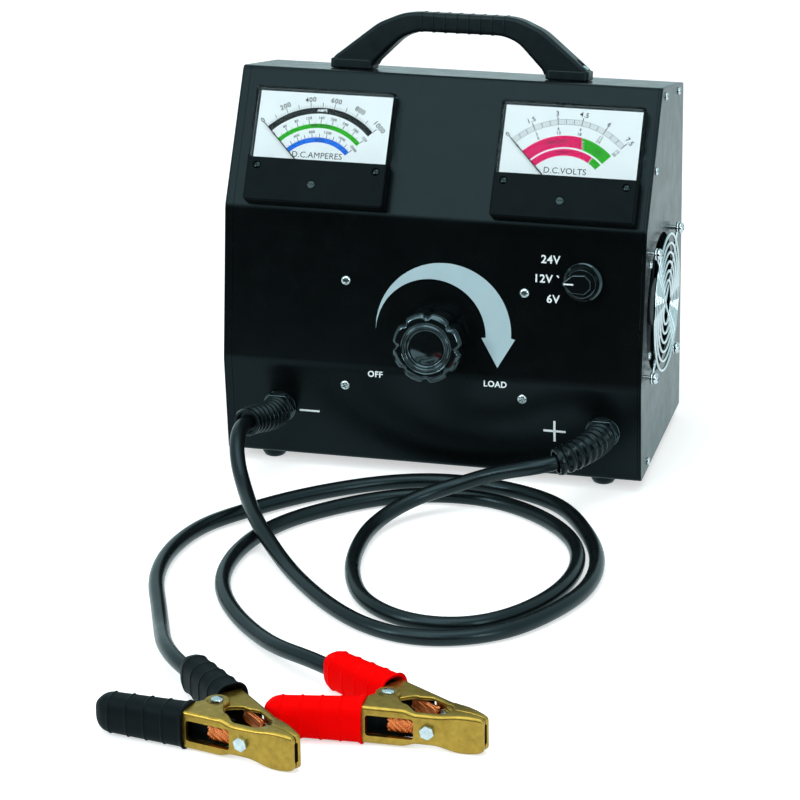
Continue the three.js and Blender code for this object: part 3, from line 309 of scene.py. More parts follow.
def join(name: str, *pieces: Piece) -> Piece:
    """Returns several pieces as one, under a new name.

    Args:
        name: the new name.
        *pieces: the pieces to join.

    Returns:
        The joined piece.
    """
    activate(*pieces)
    if len(pieces) > 1:
        bpy.ops.object.join()
    pieces[0].name = name
    pieces[0].data.name = name
    return pieces[0]


def copied(piece: Piece, *steps: Matrix) -> Piece:
    """Returns a copy of a piece with its own mesh, moved by the steps in turn.

    Args:
        piece: the piece to copy.
        *steps: the moves, in order.

    Returns:
        The copy.
    """
    twin = piece.copy()
    twin.data = piece.data.copy()
    bpy.context.scene.collection.objects.link(twin)
    for step in steps:
        twin.data.transform(step)
    return twin


def shifted(piece: Piece, step: Matrix) -> Piece:
    """Returns the piece with its mesh moved."""
    piece.data.transform(step)
    return piece


def lettering(name: str, words: str, height: float, place: Matrix, weight: float = 0.0,
              spacing: float = 1.0) -> Piece:
    """Writes words as thin raised ink, centred on a place.

    Args:
        name: the piece's name.
        words: what it says.
        height: height of a capital letter.
        place: the middle of the words, in the frame of the face.
        weight: how far the strokes are thickened.
        spacing: how far the letters stand apart, 1 for the font's own.

    Returns:
        The words as a mesh.
    """
    capital_share = 0.729
    bpy.ops.object.text_add()
    text = bpy.context.object
    text.data.body = words
    text.data.align_x = "CENTER"
    text.data.align_y = "CENTER"
    text.data.size = height / capital_share
    text.data.offset = weight
    text.data.space_character = spacing
    text.data.extrude = 0.03
    text.data.resolution_u = 4
    activate(text)
    bpy.ops.object.convert(target="MESH")
    text = bpy.context.object
    text.name = name
    return shifted(text, place)


def rounded(points: Sequence[Point], radii: Sequence[float], step: float = 5.0) -> list[Vector]:
    """Rounds the corners of an open path.

    Args:
        points: the corners.
        radii: the radius at each corner, 0 to keep it sharp.
        step: the largest turn between two points, in degrees.

    Returns:
        The points of the rounded path.
    """
    path = []
    for index, (corner, radius) in enumerate(zip(points, radii)):
        corner = Vector(corner)
        if not radius:
            path.append(corner)
            continue
        before = (Vector(points[index - 1]) - corner).normalized()
        after = (Vector(points[(index + 1) % len(points)]) - corner).normalized()
        half = before.angle(after) / 2
        centre = corner + (before + after).normalized() * radius / math.sin(half)
        start = corner + before * radius / math.tan(half) - centre
        swing = (math.pi - 2 * half) * -math.copysign(1, before.cross(after))
        count = max(3, math.ceil(abs(math.degrees(swing)) / step))
        for part in range(count + 1):
            path.append(centre + Matrix.Rotation(swing * part / count, 2) @ start)
    return path


def path_length(path: Sequence[Vector]) -> float:
    """Returns the length of a path."""
    return sum((b - a).length for a, b in zip(path, path[1:]))


def evenly(path: Sequence[Vector], count: int) -> list[Vector]:
    """Returns points at even distances along a path.

    Args:
        path: the path.
        count: how many equal stretches it is parted into.

    Returns:
        The points, one more than the stretches.
    """
    total = path_length(path)
    points, walked = [path[0]], 0.0
    for a, b in zip(path, path[1:]):
        length = (b - a).length
        while len(points) < count and walked + length >= total * len(points) / count - 1e-6:
            points.append(a.lerp(b, (total * len(points) / count - walked) / max(length, 1e-9)))
        walked += length
    return points + [path[-1]]


def rounded_oblong(width: float, height: float, radius: float) -> list[Point]:
    """Returns the outline of an oblong with round corners, about its middle.

    Args:
        width: its whole width.
        height: its whole height.
        radius: radius of its corners.

    Returns:
        The outline.
    """
    x, y = width / 2, height / 2
    path = rounded([(-x, -y), (x, -y), (x, y), (-x, y)], [radius] * 4, 15)
    return [tuple(point) for point in path]


def sweep(name: str, line: Sequence[Vector], radii: Sequence[float] | float, sides: int = 16,
          closed: bool = False) -> Piece:
    """Runs a round section along a line.

    Args:
        name: the piece's name.
        line: the points of the centreline.
        radii: the radius at each point, or one radius for all.
        sides: points in a section.
        closed: joins the end of the line to its start.

    Returns:
        The tube.
    """
    count = len(line)
    widths = [radii] * count if isinstance(radii, (int, float)) else radii
    ahead = [(line[(i + 1) % count if closed else min(i + 1, count - 1)]
              - line[i - 1 if closed else max(i - 1, 0)]).normalized() for i in range(count)]
    normal = ahead[0].orthogonal().normalized()
    rings = []
    for index, centre in enumerate(line):
        if index:
            normal = ahead[index - 1].rotation_difference(ahead[index]) @ normal
        side = ahead[index].cross(normal)
        rings.append([centre + (normal * math.cos(a) + side * math.sin(a)) * widths[index]
                      for a in (FULL_TURN * k / sides for k in range(sides))])
    if not closed:
        return loft(name, rings)
    piece = loft(name, rings + [rings[0]], True, True)
    with editing(piece, Pick.VERTICES):
        bpy.ops.mesh.select_all(action="SELECT")
        bpy.ops.mesh.remove_doubles(threshold=1e-4)
        bpy.ops.mesh.normals_make_consistent(inside=False)
    return piece


# Finishes

def feed(tree: Tree, node: Node, values: dict) -> Node:
    """Sets the inputs of a node: a socket is linked, and anything else is the input's own value.

    Args:
        tree: the node tree.
        node: the node to feed.
        values: what each input gets, by its name or number.

    Returns:
        The node.
    """
    for key, value in values.items():
        if isinstance(value, Socket):
            tree.links.new(value, node.inputs[key])
        else:
            node.inputs[key].default_value = value
    return node


def added(tree: Tree, kind: str, values: dict, **settings: object) -> Node:
    """Returns a new shader node with its settings and its inputs.

    Args:
        tree: the node tree.
        kind: the shader node's kind.
        values: what its inputs get.
        **settings: the node's own settings.

    Returns:
        The node.
    """
    node = tree.nodes.new(f"ShaderNode{kind}")
    for name, value in settings.items():
        setattr(node, name, value)
    return feed(tree, node, values)


def blend(tree: Tree, share: Socket, first: Triple, second: Triple | Socket) -> Socket:
    """Returns a mix of two colours."""
    other = second if isinstance(second, Socket) else (*second, 1)
    return added(tree, "Mix", {"Factor": share, 6: (*first, 1), 7: other}, data_type="RGBA").outputs[2]


@dataclass(frozen=True)
class Surface:
    """A finish with mottled colour, uneven polish and a fine grain, all from Object coordinates.

    Lengths are in metres: the size of a patch, of a grain and the depth of the grain.
    """

    name: str
    colour: Triple
    second: Triple
    rough: Point = (0.5, 0.6)
    metal: float = 0.0
    patch: float = 0.02
    grain: float = 0.0008
    depth: float = 0.00003
    shine: float = 0.5
    sheen: Triple = (1.0, 1.0, 1.0)

    def make(self) -> bpy.types.Material:
        """Returns the finish as a node material.

        Returns:
            The material.
        """
        material = bpy.data.materials.new(self.name)
        material.use_nodes = True
        tree = material.node_tree
        place = added(tree, "TexCoord", {}).outputs["Object"]
        patches, polish, grain = (self.noise(tree, place, size, detail) for size, detail in (
            (self.patch, 4), (self.patch / 3, 6), (self.grain, 3)))
        bump = added(tree, "Bump", {"Distance": self.depth, "Strength": 1.0, "Height": grain})
        shader = feed(tree, tree.nodes["Principled BSDF"], {
            "Metallic": self.metal,
            "Specular IOR Level": self.shine,
            "Specular Tint": (*self.sheen, 1),
            "Base Color": blend(tree, self.spread(tree, patches, 0.0, 1.0), self.colour, self.second),
            "Roughness": self.spread(tree, polish, *self.rough),
            "Normal": bump.outputs["Normal"],
        })
        self.extend(tree, shader, place, bump)
        return material

    def extend(self, tree: Tree, shader: Node, place: Socket, bump: Node) -> None:
        """Adds what one finish has beyond the others; the plain ones add nothing."""

    @staticmethod
    def noise(tree: Tree, place: Socket, size: float, detail: float) -> Socket:
        """Returns the value of a noise whose features have a given size."""
        return added(tree, "TexNoise", {"Scale": 1 / size, "Detail": detail, "Vector": place}).outputs["Fac"]

    @staticmethod
    def spread(tree: Tree, value: Socket, low: float, high: float) -> Socket:
        """Returns a noise value stretched from its middle range to two limits."""
        limits = {"From Min": 0.3, "From Max": 0.7, "To Min": low, "To Max": high, "Value": value}
        return added(tree, "MapRange", limits).outputs["Result"]


@dataclass(frozen=True)
class Twisted(Surface):
    """Bare copper strands twisted into a flexible link."""

    strand: float = 0.0011

    def extend(self, tree: Tree, shader: Node, place: Socket, bump: Node) -> None:
        """Adds fine slanting strands to the bump."""
        wave = added(tree, "TexWave", {"Scale": 1 / self.strand / 6, "Distortion": 1.5, "Vector": place},
                     bands_direction="DIAGONAL")
        strands = added(tree, "Bump", {
            "Distance": 0.0004, "Height": wave.outputs["Fac"], "Normal": bump.outputs["Normal"]})
        feed(tree, shader, {"Normal": strands.outputs["Normal"]})


@dataclass(frozen=True)
class Clear(Surface):
    """Clear acrylic, with light scuffs in its polish."""

    def extend(self, tree: Tree, shader: Node, place: Socket, bump: Node) -> None:
        """Makes the finish let light through."""
        feed(tree, shader, {"Transmission Weight": 1.0, "IOR": 1.12})


def tint(level: float) -> Triple:
    """Returns a cold grey."""
    return (level * 0.75, level, level * 1.12)


def ink(name: str, colour: Triple, second: Triple) -> Surface:
    """Returns a matt printed colour."""
    return Surface(name, colour, second, shine=0.05)


COLD = (0.66, 0.92, 1.0)


class Finish(Enum):
    """Every finish of the tester, with the record's slot that it belongs to."""

    PAINT = ("case_paint", Surface("black_powder_coat", tint(0.0024), tint(0.003), (0.22, 0.28), patch=0.05,
                                   grain=0.0011, depth=0.00001, shine=0.15, sheen=COLD))
    BEZEL = ("black_plastic", Surface("satin_black_moulding", tint(0.003), tint(0.0045), (0.34, 0.42),
                                      grain=0.0005, depth=0.00002, shine=0.05, sheen=COLD))
    PLASTIC = ("black_plastic", Surface("grained_black_plastic", tint(0.004), tint(0.006), (0.34, 0.46),
                                        grain=0.0009, depth=0.00005, shine=0.2, sheen=COLD))
    PHENOLIC = ("knob_plastic", Surface("polished_phenolic", tint(0.004), tint(0.006), (0.07, 0.13),
                                        grain=0.0015, depth=0.000008, shine=0.8, sheen=COLD))
    RUBBER = ("black_rubber", Surface("moulded_black_rubber", tint(0.003), tint(0.005), (0.22, 0.3),
                                      grain=0.0007, depth=0.00001, shine=0.2, sheen=COLD))
    BLACKENED = ("black_plastic", Surface("blackened_screw", tint(0.002), tint(0.003), (0.1, 0.16),
                                          grain=0.0007, depth=0.000005, shine=0.4, sheen=COLD))
    GRIP = ("black_rubber", Surface("soft_black_vinyl", tint(0.004), tint(0.006), shine=0.08, sheen=COLD))
    SLEEVING = ("black_rubber", Surface("lead_sleeving", tint(0.003), tint(0.005), (0.26, 0.34), patch=0.03,
                                        grain=0.0018, depth=0.00004, shine=0.3, sheen=COLD))
    RED = ("red_rubber", Surface("soft_red_vinyl", (1.0, 0.0003, 0.0006), (0.95, 0.0002, 0.0004),
                                 (0.5, 0.62), shine=0.02))
    ZINC = ("zinc_steel", Surface("zinc_plate", (0.58, 0.64, 0.65), (0.42, 0.47, 0.48), (0.14, 0.3), 1.0,
                                  patch=0.004, grain=0.0004, depth=0.00001))
    CHROME = ("chrome_wire", Surface("chrome_plate", (0.6, 0.63, 0.64), (0.5, 0.53, 0.55), (0.05, 0.12), 1.0,
                                     patch=0.01, grain=0.001, depth=0.000004))
    BRASS = ("brass", Surface("stamped_brass", (0.43, 0.268, 0.049), (0.31, 0.187, 0.034), (0.28, 0.42), 1.0,
                              patch=0.005, grain=0.0006, depth=0.00005))
    COPPER = ("copper", Twisted("twisted_copper", (0.86, 0.27, 0.09), (0.6, 0.15, 0.05), (0.3, 0.45), 1.0,
                                patch=0.004, grain=0.0004))
    BUSBAR = ("copper", Surface("copper_bar", (0.6, 0.24, 0.1), (0.4, 0.14, 0.06), (0.25, 0.45), 1.0))
    CARBON = ("carbon", Surface("pressed_carbon", tint(0.012), tint(0.02), (0.6, 0.8), grain=0.0005,
                                depth=0.00006))
    ACRYLIC = ("clear_cover", Clear("clear_acrylic", (0.97, 0.99, 1.0), (0.95, 0.98, 0.99), (0.0, 0.015),
                                    patch=0.03, grain=0.004, depth=0.000001, shine=0.1))
    CARD = ("scale_white", Surface("printed_card", (0.8, 0.83, 0.84), (0.77, 0.8, 0.81), grain=0.0004,
                                   depth=0.00001, shine=0.05))
    INK_BLACK = ("black_plastic", ink("ink_black", tint(0.006), tint(0.01)))
    INK_PALE = ("black_plastic", ink("ink_pale_grey", tint(0.045), tint(0.06)))
    INK_GREEN = ("scale_white", ink("ink_green", (0.012, 0.33, 0.006), (0.016, 0.38, 0.008)))
    INK_BLUE = ("scale_white", ink("ink_blue", (0.003, 0.11, 0.6), (0.005, 0.14, 0.68)))
    INK_CRIMSON = ("scale_white", ink("ink_crimson", (0.7, 0.003, 0.1), (0.76, 0.005, 0.12)))
    LABEL = ("scale_white", Surface("label_white", (0.93, 0.98, 1.0), (0.88, 0.93, 0.95), (0.4, 0.5)))
    ARROW = ("scale_white", Surface("arrow_pale_blue", (0.46, 0.6, 0.65), (0.43, 0.57, 0.62), (0.4, 0.5)))

    @property
    def slot(self) -> str:
        """Returns the record's slot."""
        return self.value[0]

    @property
    def material(self) -> bpy.types.Material:
        """Returns the material, made on first use."""
        surface = self.value[1]
        return bpy.data.materials.get(surface.name) or surface.make()


def dress(piece: Piece, finish: Finish, body: str, *stands_for: str, place: Matrix | None = None,
          smooth: float = 32.0) -> Piece:
    """Puts a piece in its place, shades it, gives it its finish and lets it ride on its body.

    Args:
        piece: the finished mesh.
        finish: what it is made of.
        body: the CAD body that it moves with.
        *stands_for: the CAD nodes that it replaces.
        place: the frame that the piece was drawn in, or None where it is in place already.
        smooth: the largest angle that is shaded round, in degrees.

    Returns:
        The piece.
    """
    if place is not None:
        piece.data.transform(place)
    activate(piece)
    bpy.ops.object.shade_smooth_by_angle(angle=math.radians(smooth))
    modify(piece, "WEIGHTED_NORMAL", keep_sharp=True, weight=60)
    piece.data.materials.clear()
    piece.data.materials.append(finish.material)
    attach(piece, body)
    if stands_for:
        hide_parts(*stands_for)
    log.info("%s rides on %s", piece.name, body)
    return piece


def repaint(finish: Finish, *nodes: str) -> None:
    """Gives CAD nodes that keep their shape a finish.

    Args:
        finish: the new finish.
        *nodes: the CAD nodes.
    """
    for name in nodes:
        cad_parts[name].data.materials.clear()
        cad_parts[name].data.materials.append(finish.material)
        log.info("%s keeps its shape", name)


# Fasteners

@dataclass
class CrossScrew:
    """A domed screw head with a cross recess and a short shank."""

    radius: float
    height: float
    shank: float = 2.0
    reach: float = 6.0

    def build(self, name: str) -> Piece:
        """Returns the screw with the underside of its head at height 0.

        Args:
            name: the piece's name.

        Returns:
            The screw.
        """
        r, h = self.radius, self.height
        head = lathe(name, [
            (self.shank, -self.reach), (self.shank, 0), (r * 0.97, 0), (r, h * 0.12), (r, h * 0.3),
            (r * 0.93, h * 0.58), (r * 0.78, h * 0.8), (r * 0.55, h * 0.94), (r * 0.25, h),
        ], 32)
        arm, width = r * 0.6, r * 0.24
        return carve(
            head,
            box("cutter", (-arm, arm), (-width / 2, width / 2), (h * 0.1, h * 2)),
            box("cutter", (-width / 2, width / 2), (-arm, arm), (h * 0.1, h * 2)))

    def fit(self, name: str, finish: Finish, node: str, place: Matrix) -> None:
        """Builds the screw at its place in the case, where it stands for a CAD node."""
        dress(self.build(name), finish, "case", node, place=place)


# Case

@dataclass
class FoldedCase:
    """The sheet steel case: one folded front, two sides, rear, bottom and feet."""

    sheet: float = 1.5
    chin: Point = (-6, 94)
    brow: Point = (12, 224.5)
    crest: Point = (77, 328)
    rear: Point = (178, 305)
    rear_tuck: Point = (178.33, 293)
    heel: Point = (186, 10)
    toe: Point = (0, 10)
    lip: Point = (14, 10)
    front_from: float = -171.7
    front_to: float = 175.7
    fan_opening: float = 58.5

    def folds(self, step: float = 3.0) -> list[Vector]:
        """Returns the outer line of the folded front, as (back, up) points."""
        corners = [self.lip, self.toe, self.chin, self.brow, self.crest, self.rear, self.rear_tuck]
        return rounded(corners, [0, 4, 45, 16, 5, 3, 0], step)

    def section(self) -> list[Point]:
        """Returns the closed section of the folded sheet.

        Returns:
            The outline, outer line first.
        """
        outer = self.folds()
        inner = []
        for index, point in enumerate(outer):
            ahead = (outer[min(index + 1, len(outer) - 1)] - outer[max(index - 1, 0)]).normalized()
            inner.append(point + Vector((ahead.y, -ahead.x)) * self.sheet)
        return [tuple(point) for point in outer + inner[::-1]]

    def build(self) -> None:
        """Builds every part of the case."""
        self.front()
        self.side("right", SIDE, 3.0)
        self.side("left", LEFT_SIDE, 7.0)
        repaint(Finish.PAINT, "rear_panel", "bottom_panel")
        self.feet()
        self.side_screws()

    def front(self) -> None:
        """Builds the folded front with its holes."""
        panel = shifted(slab("front_panel_sheet", self.section(), self.front_from, self.front_to), SIDE)
        round_holes = [
            (METER_SLOPE, AMMETER_ACROSS, METERS_UP, 37.4), (METER_SLOPE, VOLTMETER_ACROSS, METERS_UP, 37.4),
            (CONTROL, *LOAD_KNOB, 6.9), (CONTROL, *SELECTOR, 5.2),
            *((CONTROL, across, UPPER_SCREWS_UP, 2.5) for across in FRAME_SCREWS.values()),
            *((CHIN, across, LOWER_SCREWS_UP, 2.5) for across in FRAME_SCREWS.values()),
            (CHIN, MINUS_GLAND, GLANDS_UP, 9.4), (CHIN, PLUS_GLAND, GLANDS_UP, 9.4),
            (TOP, 0.5 - HANDLE_SCREW, 37.5, 3), (TOP, 0.5 + HANDLE_SCREW, 37.5, 3),
        ]
        for face, across, along, radius in round_holes:
            carve(panel, bore(radius, -6, 3, face @ move(across, along)))
        dress(panel, Finish.PAINT, "case", "front_panel", smooth=20)

    def side(self, hand: str, plane: Matrix, lip: float) -> None:
        """Builds one side sheet with the lip that the front meets.

        Args:
            hand: left or right.
            plane: the frame of the side, Z outward from the middle of the case.
            lip: how far the lip stands back over the front.
        """
        mirror = -1 if hand == "left" else 1
        outline = [(mirror * back, up) for back, up in self.folds() + [Vector(self.heel)]]
        plate = soften(slab(f"{hand}_side_sheet", outline, CASE_HALF - self.sheet, CASE_HALF), 0.5, 2)
        section = [(mirror * back, up) for back, up in self.section()]
        rim = slab("rim", section, CASE_HALF - lip, CASE_HALF - self.sheet + 0.05)
        plate = shifted(join(f"{hand}_side_sheet", plate, rim), plane)
        if hand == "right":
            carve(plate, bore(self.fan_opening, -8, 3, FAN, 96))
            for across, along in product((-FAN_SCREW, FAN_SCREW), repeat=2):
                carve(plate, bore(2.4, -8, 3, FAN @ move(across, along), 24))
        else:
            slot = rounded_oblong(46, 4, 1.95)
            vents = [shifted(slab("vent", slot, CASE_HALF - 9, CASE_HALF + 2), plane @ move(column, up))
                     for up, column in product(range(70, 143, 12), (-124, -62))]
            carve(plate, join("cutter", *vents))
        dress(plate, Finish.PAINT, "case", f"{hand}_side_panel", smooth=20)

    def feet(self) -> None:
        """Builds the four rubber feet, each with the recess of its screw."""
        profile = [(2.6, 3.4), (2.6, 0.3), (5, 0.0), (7.4, 0.15), (8.9, 1.0), (10.2, 3.2), (11.2, 5.8),
                   (11.5, 8.6), (11.5, 9.5), (11.2, 9.7), (4, 9.7)]
        ends, hands = (("front", 20), ("rear", 166)), (("left", -143.5), ("right", 143.5))
        for (end, back), (hand, across) in product(ends, hands):
            foot = lathe(f"rubber_foot_{end}_{hand}", profile, 40)
            dress(foot, Finish.RUBBER, "case", f"foot_{end}_{hand}", place=CASE @ move(across, back))

    def side_screws(self) -> None:
        """Builds the screws that hold the sheets together, along the sides and the rear."""
        along_side = [(90.6, 317.4), (48.9, 265.7), (27.3, 192.1), (26.8, 113.1), (29.8, 17.5),
                      (152.4, 304.6)]
        head = CrossScrew(3.3, 2.2, reach=2).build("sheet_screw")
        rows = {
            "right_side_screws": [SIDE @ move(back, up, CASE_HALF) for back, up in along_side],
            "left_side_screws": [LEFT_SIDE @ move(-back, up, CASE_HALF) for back, up in along_side],
            "rear_screws": [REAR @ move(*place) for place in product((-165, 165), (14, 140, 270))],
        }
        for name, places in rows.items():
            dress(join(name, *(copied(head, place) for place in places)), Finish.CHROME, "case")
        bpy.data.objects.remove(head)


# Handle

@dataclass
class CarryingHandle:
    """The moulded carrying handle: a bowed grip on two feet, with eight ribs round the grip."""

    length: float = 222.0
    rise: float = 50.5
    depth: float = 26.0
    bevel: float = 4.0
    grip: float = 16.2
    stations: int = 36
    place: Matrix = TOP @ move(0.5, 24.5)

    def build(self) -> None:
        """Builds the handle and its two screws."""
        end, under = self.length / 2, self.rise - self.grip
        shoulder = [(end - 1.5, 4), (end - 1.5, 9), (end - 40, 40), (end - 64, self.rise), (0, self.rise)]
        outside = rounded(shoulder, [0, 2, 40, 46, 0])
        inside = rounded([(73, 4), (71, 8), (50, 29), (37, under), (0, under)], [0, 6, 30, 36, 0])
        pairs = list(zip(evenly(outside, self.stations), evenly(inside, self.stations)))
        mirrored = [(Vector((-a.x, a.y)), Vector((-b.x, b.y))) for a, b in reversed(pairs[:-1])]
        arch = loft("handle_arch", [self.section(*pair) for pair in pairs + mirrored])
        feet = [self.foot(hand, end) for hand in (-1, 1)]
        for piece in (arch, *feet):
            self.drill(piece)
        ribs = [self.rib(-33.4 + 10.1 * index) for index in range(8)]
        body = join("carrying_handle_moulding", arch, *feet, *ribs)
        for hand, name in ((-1, "left"), (1, "right")):
            place = self.place @ move(hand * HANDLE_SCREW, self.depth / 2, 9.3)
            CrossScrew(5.0, 3.6, 2.5, 20).fit(
                f"handle_cross_screw_{name}", Finish.ZINC, f"handle_screw_{name}", place)
        dress(body, Finish.PLASTIC, "case", "carrying_handle", place=self.place)

    def section(self, outer: Vector, inner: Vector) -> Ring:
        """Returns one section of the arch, between a point of its outside and a point of its inside.

        Args:
            outer: the point of the outside.
            inner: the point of the inside.

        Returns:
            The ring.
        """
        ahead = (outer - inner).normalized()
        middle = (outer + inner) / 2
        ring = []
        for across, along in rounded_oblong(self.depth - 1.2, (outer - inner).length, self.bevel):
            place = middle + ahead * along
            ring.append(Vector((place.x, self.depth / 2 + across, place.y)))
        return ring

    def drill(self, piece: Piece) -> None:
        """Cuts the wells and the bores of the two screws out of one part of the handle."""
        for hand, (radius, low) in product((-1, 1), ((5.8, 9), (2.9, -4))):
            carve(piece, bore(radius, low, 60, move(hand * HANDLE_SCREW, self.depth / 2)))

    def foot(self, hand: int, end: float) -> Piece:
        """Returns the block under one end of the arch.

        Args:
            hand: -1 for the left end, 1 for the right one.
            end: distance of the handle's end from its middle.

        Returns:
            The block.
        """
        outline = rounded_oblong(37, self.depth, 4.5)
        block = soften(slab("foot", outline, 0.3, 8.6), 1.4, 3)
        return shifted(block, move(hand * (end - 18.5), self.depth / 2))

    def rib(self, across: float) -> Piece:
        """Returns one thin raised rib round the grip.

        Args:
            across: its place along the grip.

        Returns:
            The rib.
        """
        outline = rounded_oblong(self.depth + 0.1, self.grip + 1.0, self.bevel + 0.4)
        ring = soften(slab("rib", outline, -0.6, 0.6), 0.35, 2)
        return shifted(ring, move(across, self.depth / 2, self.rise - self.grip / 2) @ ACROSS)


# Panel meters

@dataclass
class Scale:
    """One row of a dial: its ring, the marks over it and the numbers over the marks."""

    inner: float
    outer: float
    marks: int
    numbers: tuple[str, ...] = ()
    minor: int = 0
    mark_length: float = 3.6
    number_gap: float = 2.3
    letter: float = 2.7


@dataclass
class PanelMeter:
    """A moving coil meter: clear window, black bezel, printed dial, needle and zero screw."""

    name: str
    across: float
    width: float = 120.0
    height: float = 99.0
    cover_top: float = 15.3
    wall: float = 2.0
    window_low: float = -12.5
    pivot: float = -29.5
    ink: float = 8.42
    shift: float = -2.5
    sweep: float = 45.0

    @property
    def place(self) -> Matrix:
        """Returns the frame of the meter's middle, on the slope."""
        return METER_SLOPE @ move(self.across, METERS_UP)

    def build(self) -> None:
        """Builds the cover, the screws and the dial."""
        self.cover()
        self.screws()
        repaint(Finish.BEZEL, f"{self.name}_case")
        repaint(Finish.INK_BLACK, f"{self.name}_needle")
        repaint(Finish.CARD, f"{self.name}_scale")

    def cover(self) -> None:
        """Builds the cover as one shell, then parts it into the clear window and the black bezel."""
        top = self.cover_top
        shell = slab("shell", rounded_oblong(self.width, self.height, 2.5), 0.3, top)
        soften(shell, 1.6, 4, 60)
        inside = rounded_oblong(self.width - 2 * self.wall, self.height - 2 * self.wall, 1.2)
        hollow = slab("hollow", inside, -2, top - self.wall)
        wells = [bore(3.4, top - 1.8, 20, move(across, COVER_SCREWS_UP), 32)
                 for across in (-COVER_SCREW, COVER_SCREW)]
        carve(shell, hollow, bore(3.8, 0, 20, move(self.shift, ZERO_SCREW_UP), 32), *wells)
        bezel = copied(shell)
        self.part(shell, keep_above=True)
        self.part(bezel, keep_above=False)
        shell.name = f"{self.name}_window"
        bezel.name = f"{self.name}_bezel"
        dress(shell, Finish.ACRYLIC, "case", f"{self.name}_cover", place=self.place)
        shell.visible_shadow = False
        shell.visible_diffuse = False
        dress(bezel, Finish.BEZEL, "case", f"{self.name}_cover", place=self.place)

    def part(self, piece: Piece, keep_above: bool) -> None:
        """Cuts the cover along the window's lower edge and keeps one side.

        Args:
            piece: the cover.
            keep_above: keeps the window, or else the bezel.
        """
        edge = self.window_low + (0.04 if keep_above else -0.04)
        with editing(piece):
            bpy.ops.mesh.select_all(action="SELECT")
            bpy.ops.mesh.bisect(plane_co=(0, edge, 0), plane_no=(0, 1, 0), use_fill=True,
                                clear_inner=keep_above, clear_outer=not keep_above)

    def screws(self) -> None:
        """Builds the two screws of the cover and the slotted zero screw."""
        heads = []
        for across in (-COVER_SCREW, COVER_SCREW):
            head = CrossScrew(3.0, 1.5, 1.2, 0.05).build("cover_screw")
            heads.append(shifted(head, move(across, COVER_SCREWS_UP, self.cover_top - 1.75)))
        dress(join(f"{self.name}_cover_screws", *heads), Finish.BLACKENED, "case", place=self.place)
        top = self.cover_top + 0.9
        zero = lathe(f"{self.name}_zero_slot_screw", [
            (3.3, top - 3), (3.4, top - 2.8), (3.4, top - 0.6), (2.9, top - 0.1), (2.0, top)], 32)
        carve(zero, box("cutter", (-5, 5), (-0.6, 0.6), (top - 0.9, top + 2)))
        dress(zero, Finish.BLACKENED, f"{self.name}_zero_screw", f"{self.name}_zero_screw",
              place=self.place @ move(self.shift, ZERO_SCREW_UP))

    def band(self, inner: float, outer: float, start: float, end: float) -> Piece:
        """Returns a flat arc about the pivot, between two angles from the upright.

        Args:
            inner: inner radius.
            outer: outer radius.
            start: the first angle, in degrees.
            end: the last angle, in degrees.

        Returns:
            The arc.
        """
        count = max(2, round(abs(end - start) / 2))
        turns = [math.radians(90 - start - (end - start) * k / count) for k in range(count + 1)]
        outline = [polar(outer, a) for a in turns] + [polar(inner, a) for a in reversed(turns)]
        return printed("band", outline, move(0, self.pivot, self.ink))

    def marks(self, scale: Scale, count: int, length: float, thick: float) -> list[Piece]:
        """Returns evenly spaced marks over a ring.

        Args:
            scale: the row of the dial.
            count: how many spaces the sweep is parted into.
            length: length of a mark.
            thick: thickness of a mark.

        Returns:
            The marks.
        """
        marks = []
        low = scale.outer + 0.1
        for index in range(count + 1):
            angle = -self.sweep + 2 * self.sweep * index / count
            mark = box("mark", (-thick / 2, thick / 2), (low, low + length), (0, INK_THICK))
            marks.append(shifted(mark, move(0, self.pivot, self.ink) @ turn(-angle)))
        return marks

    def numbers(self, scale: Scale) -> list[Piece]:
        """Returns the numbers of a row, each upright to its mark.

        Args:
            scale: the row.

        Returns:
            The numbers.
        """
        words = []
        radius = scale.outer + scale.mark_length + scale.number_gap
        for index, number in enumerate(scale.numbers):
            angle = -self.sweep + 2 * self.sweep * index / (len(scale.numbers) - 1)
            place = move(0, self.pivot, self.ink + 0.03) @ turn(-angle) @ move(0, radius)
            words.append(lettering("number", number, scale.letter * 1.06, place, 0.08, 1.12))
        return words

    def unit(self, words: str) -> Piece:
        """Returns the large word in the middle of the dial."""
        return lettering("unit", words, 5.2, move(0, -7.0, self.ink + 0.03), 0.0, 1.04)

    def band_word(self, words: str, radius: float, angle: float = 0.0, height: float = 2.4,
                  weight: float = 0.02) -> Piece:
        """Returns a small word on a band, upright to its place."""
        place = move(0, self.pivot, self.ink + 0.09) @ turn(-angle) @ move(0, radius)
        return lettering("word", words, height, place, weight)

    def print_ink(self, part: str, finish: Finish, pieces: list[Piece]) -> None:
        """Joins printed marks of one colour into one piece."""
        dress(join(f"{self.name}_{part}", *pieces), finish, "case", place=self.place @ move(self.shift))


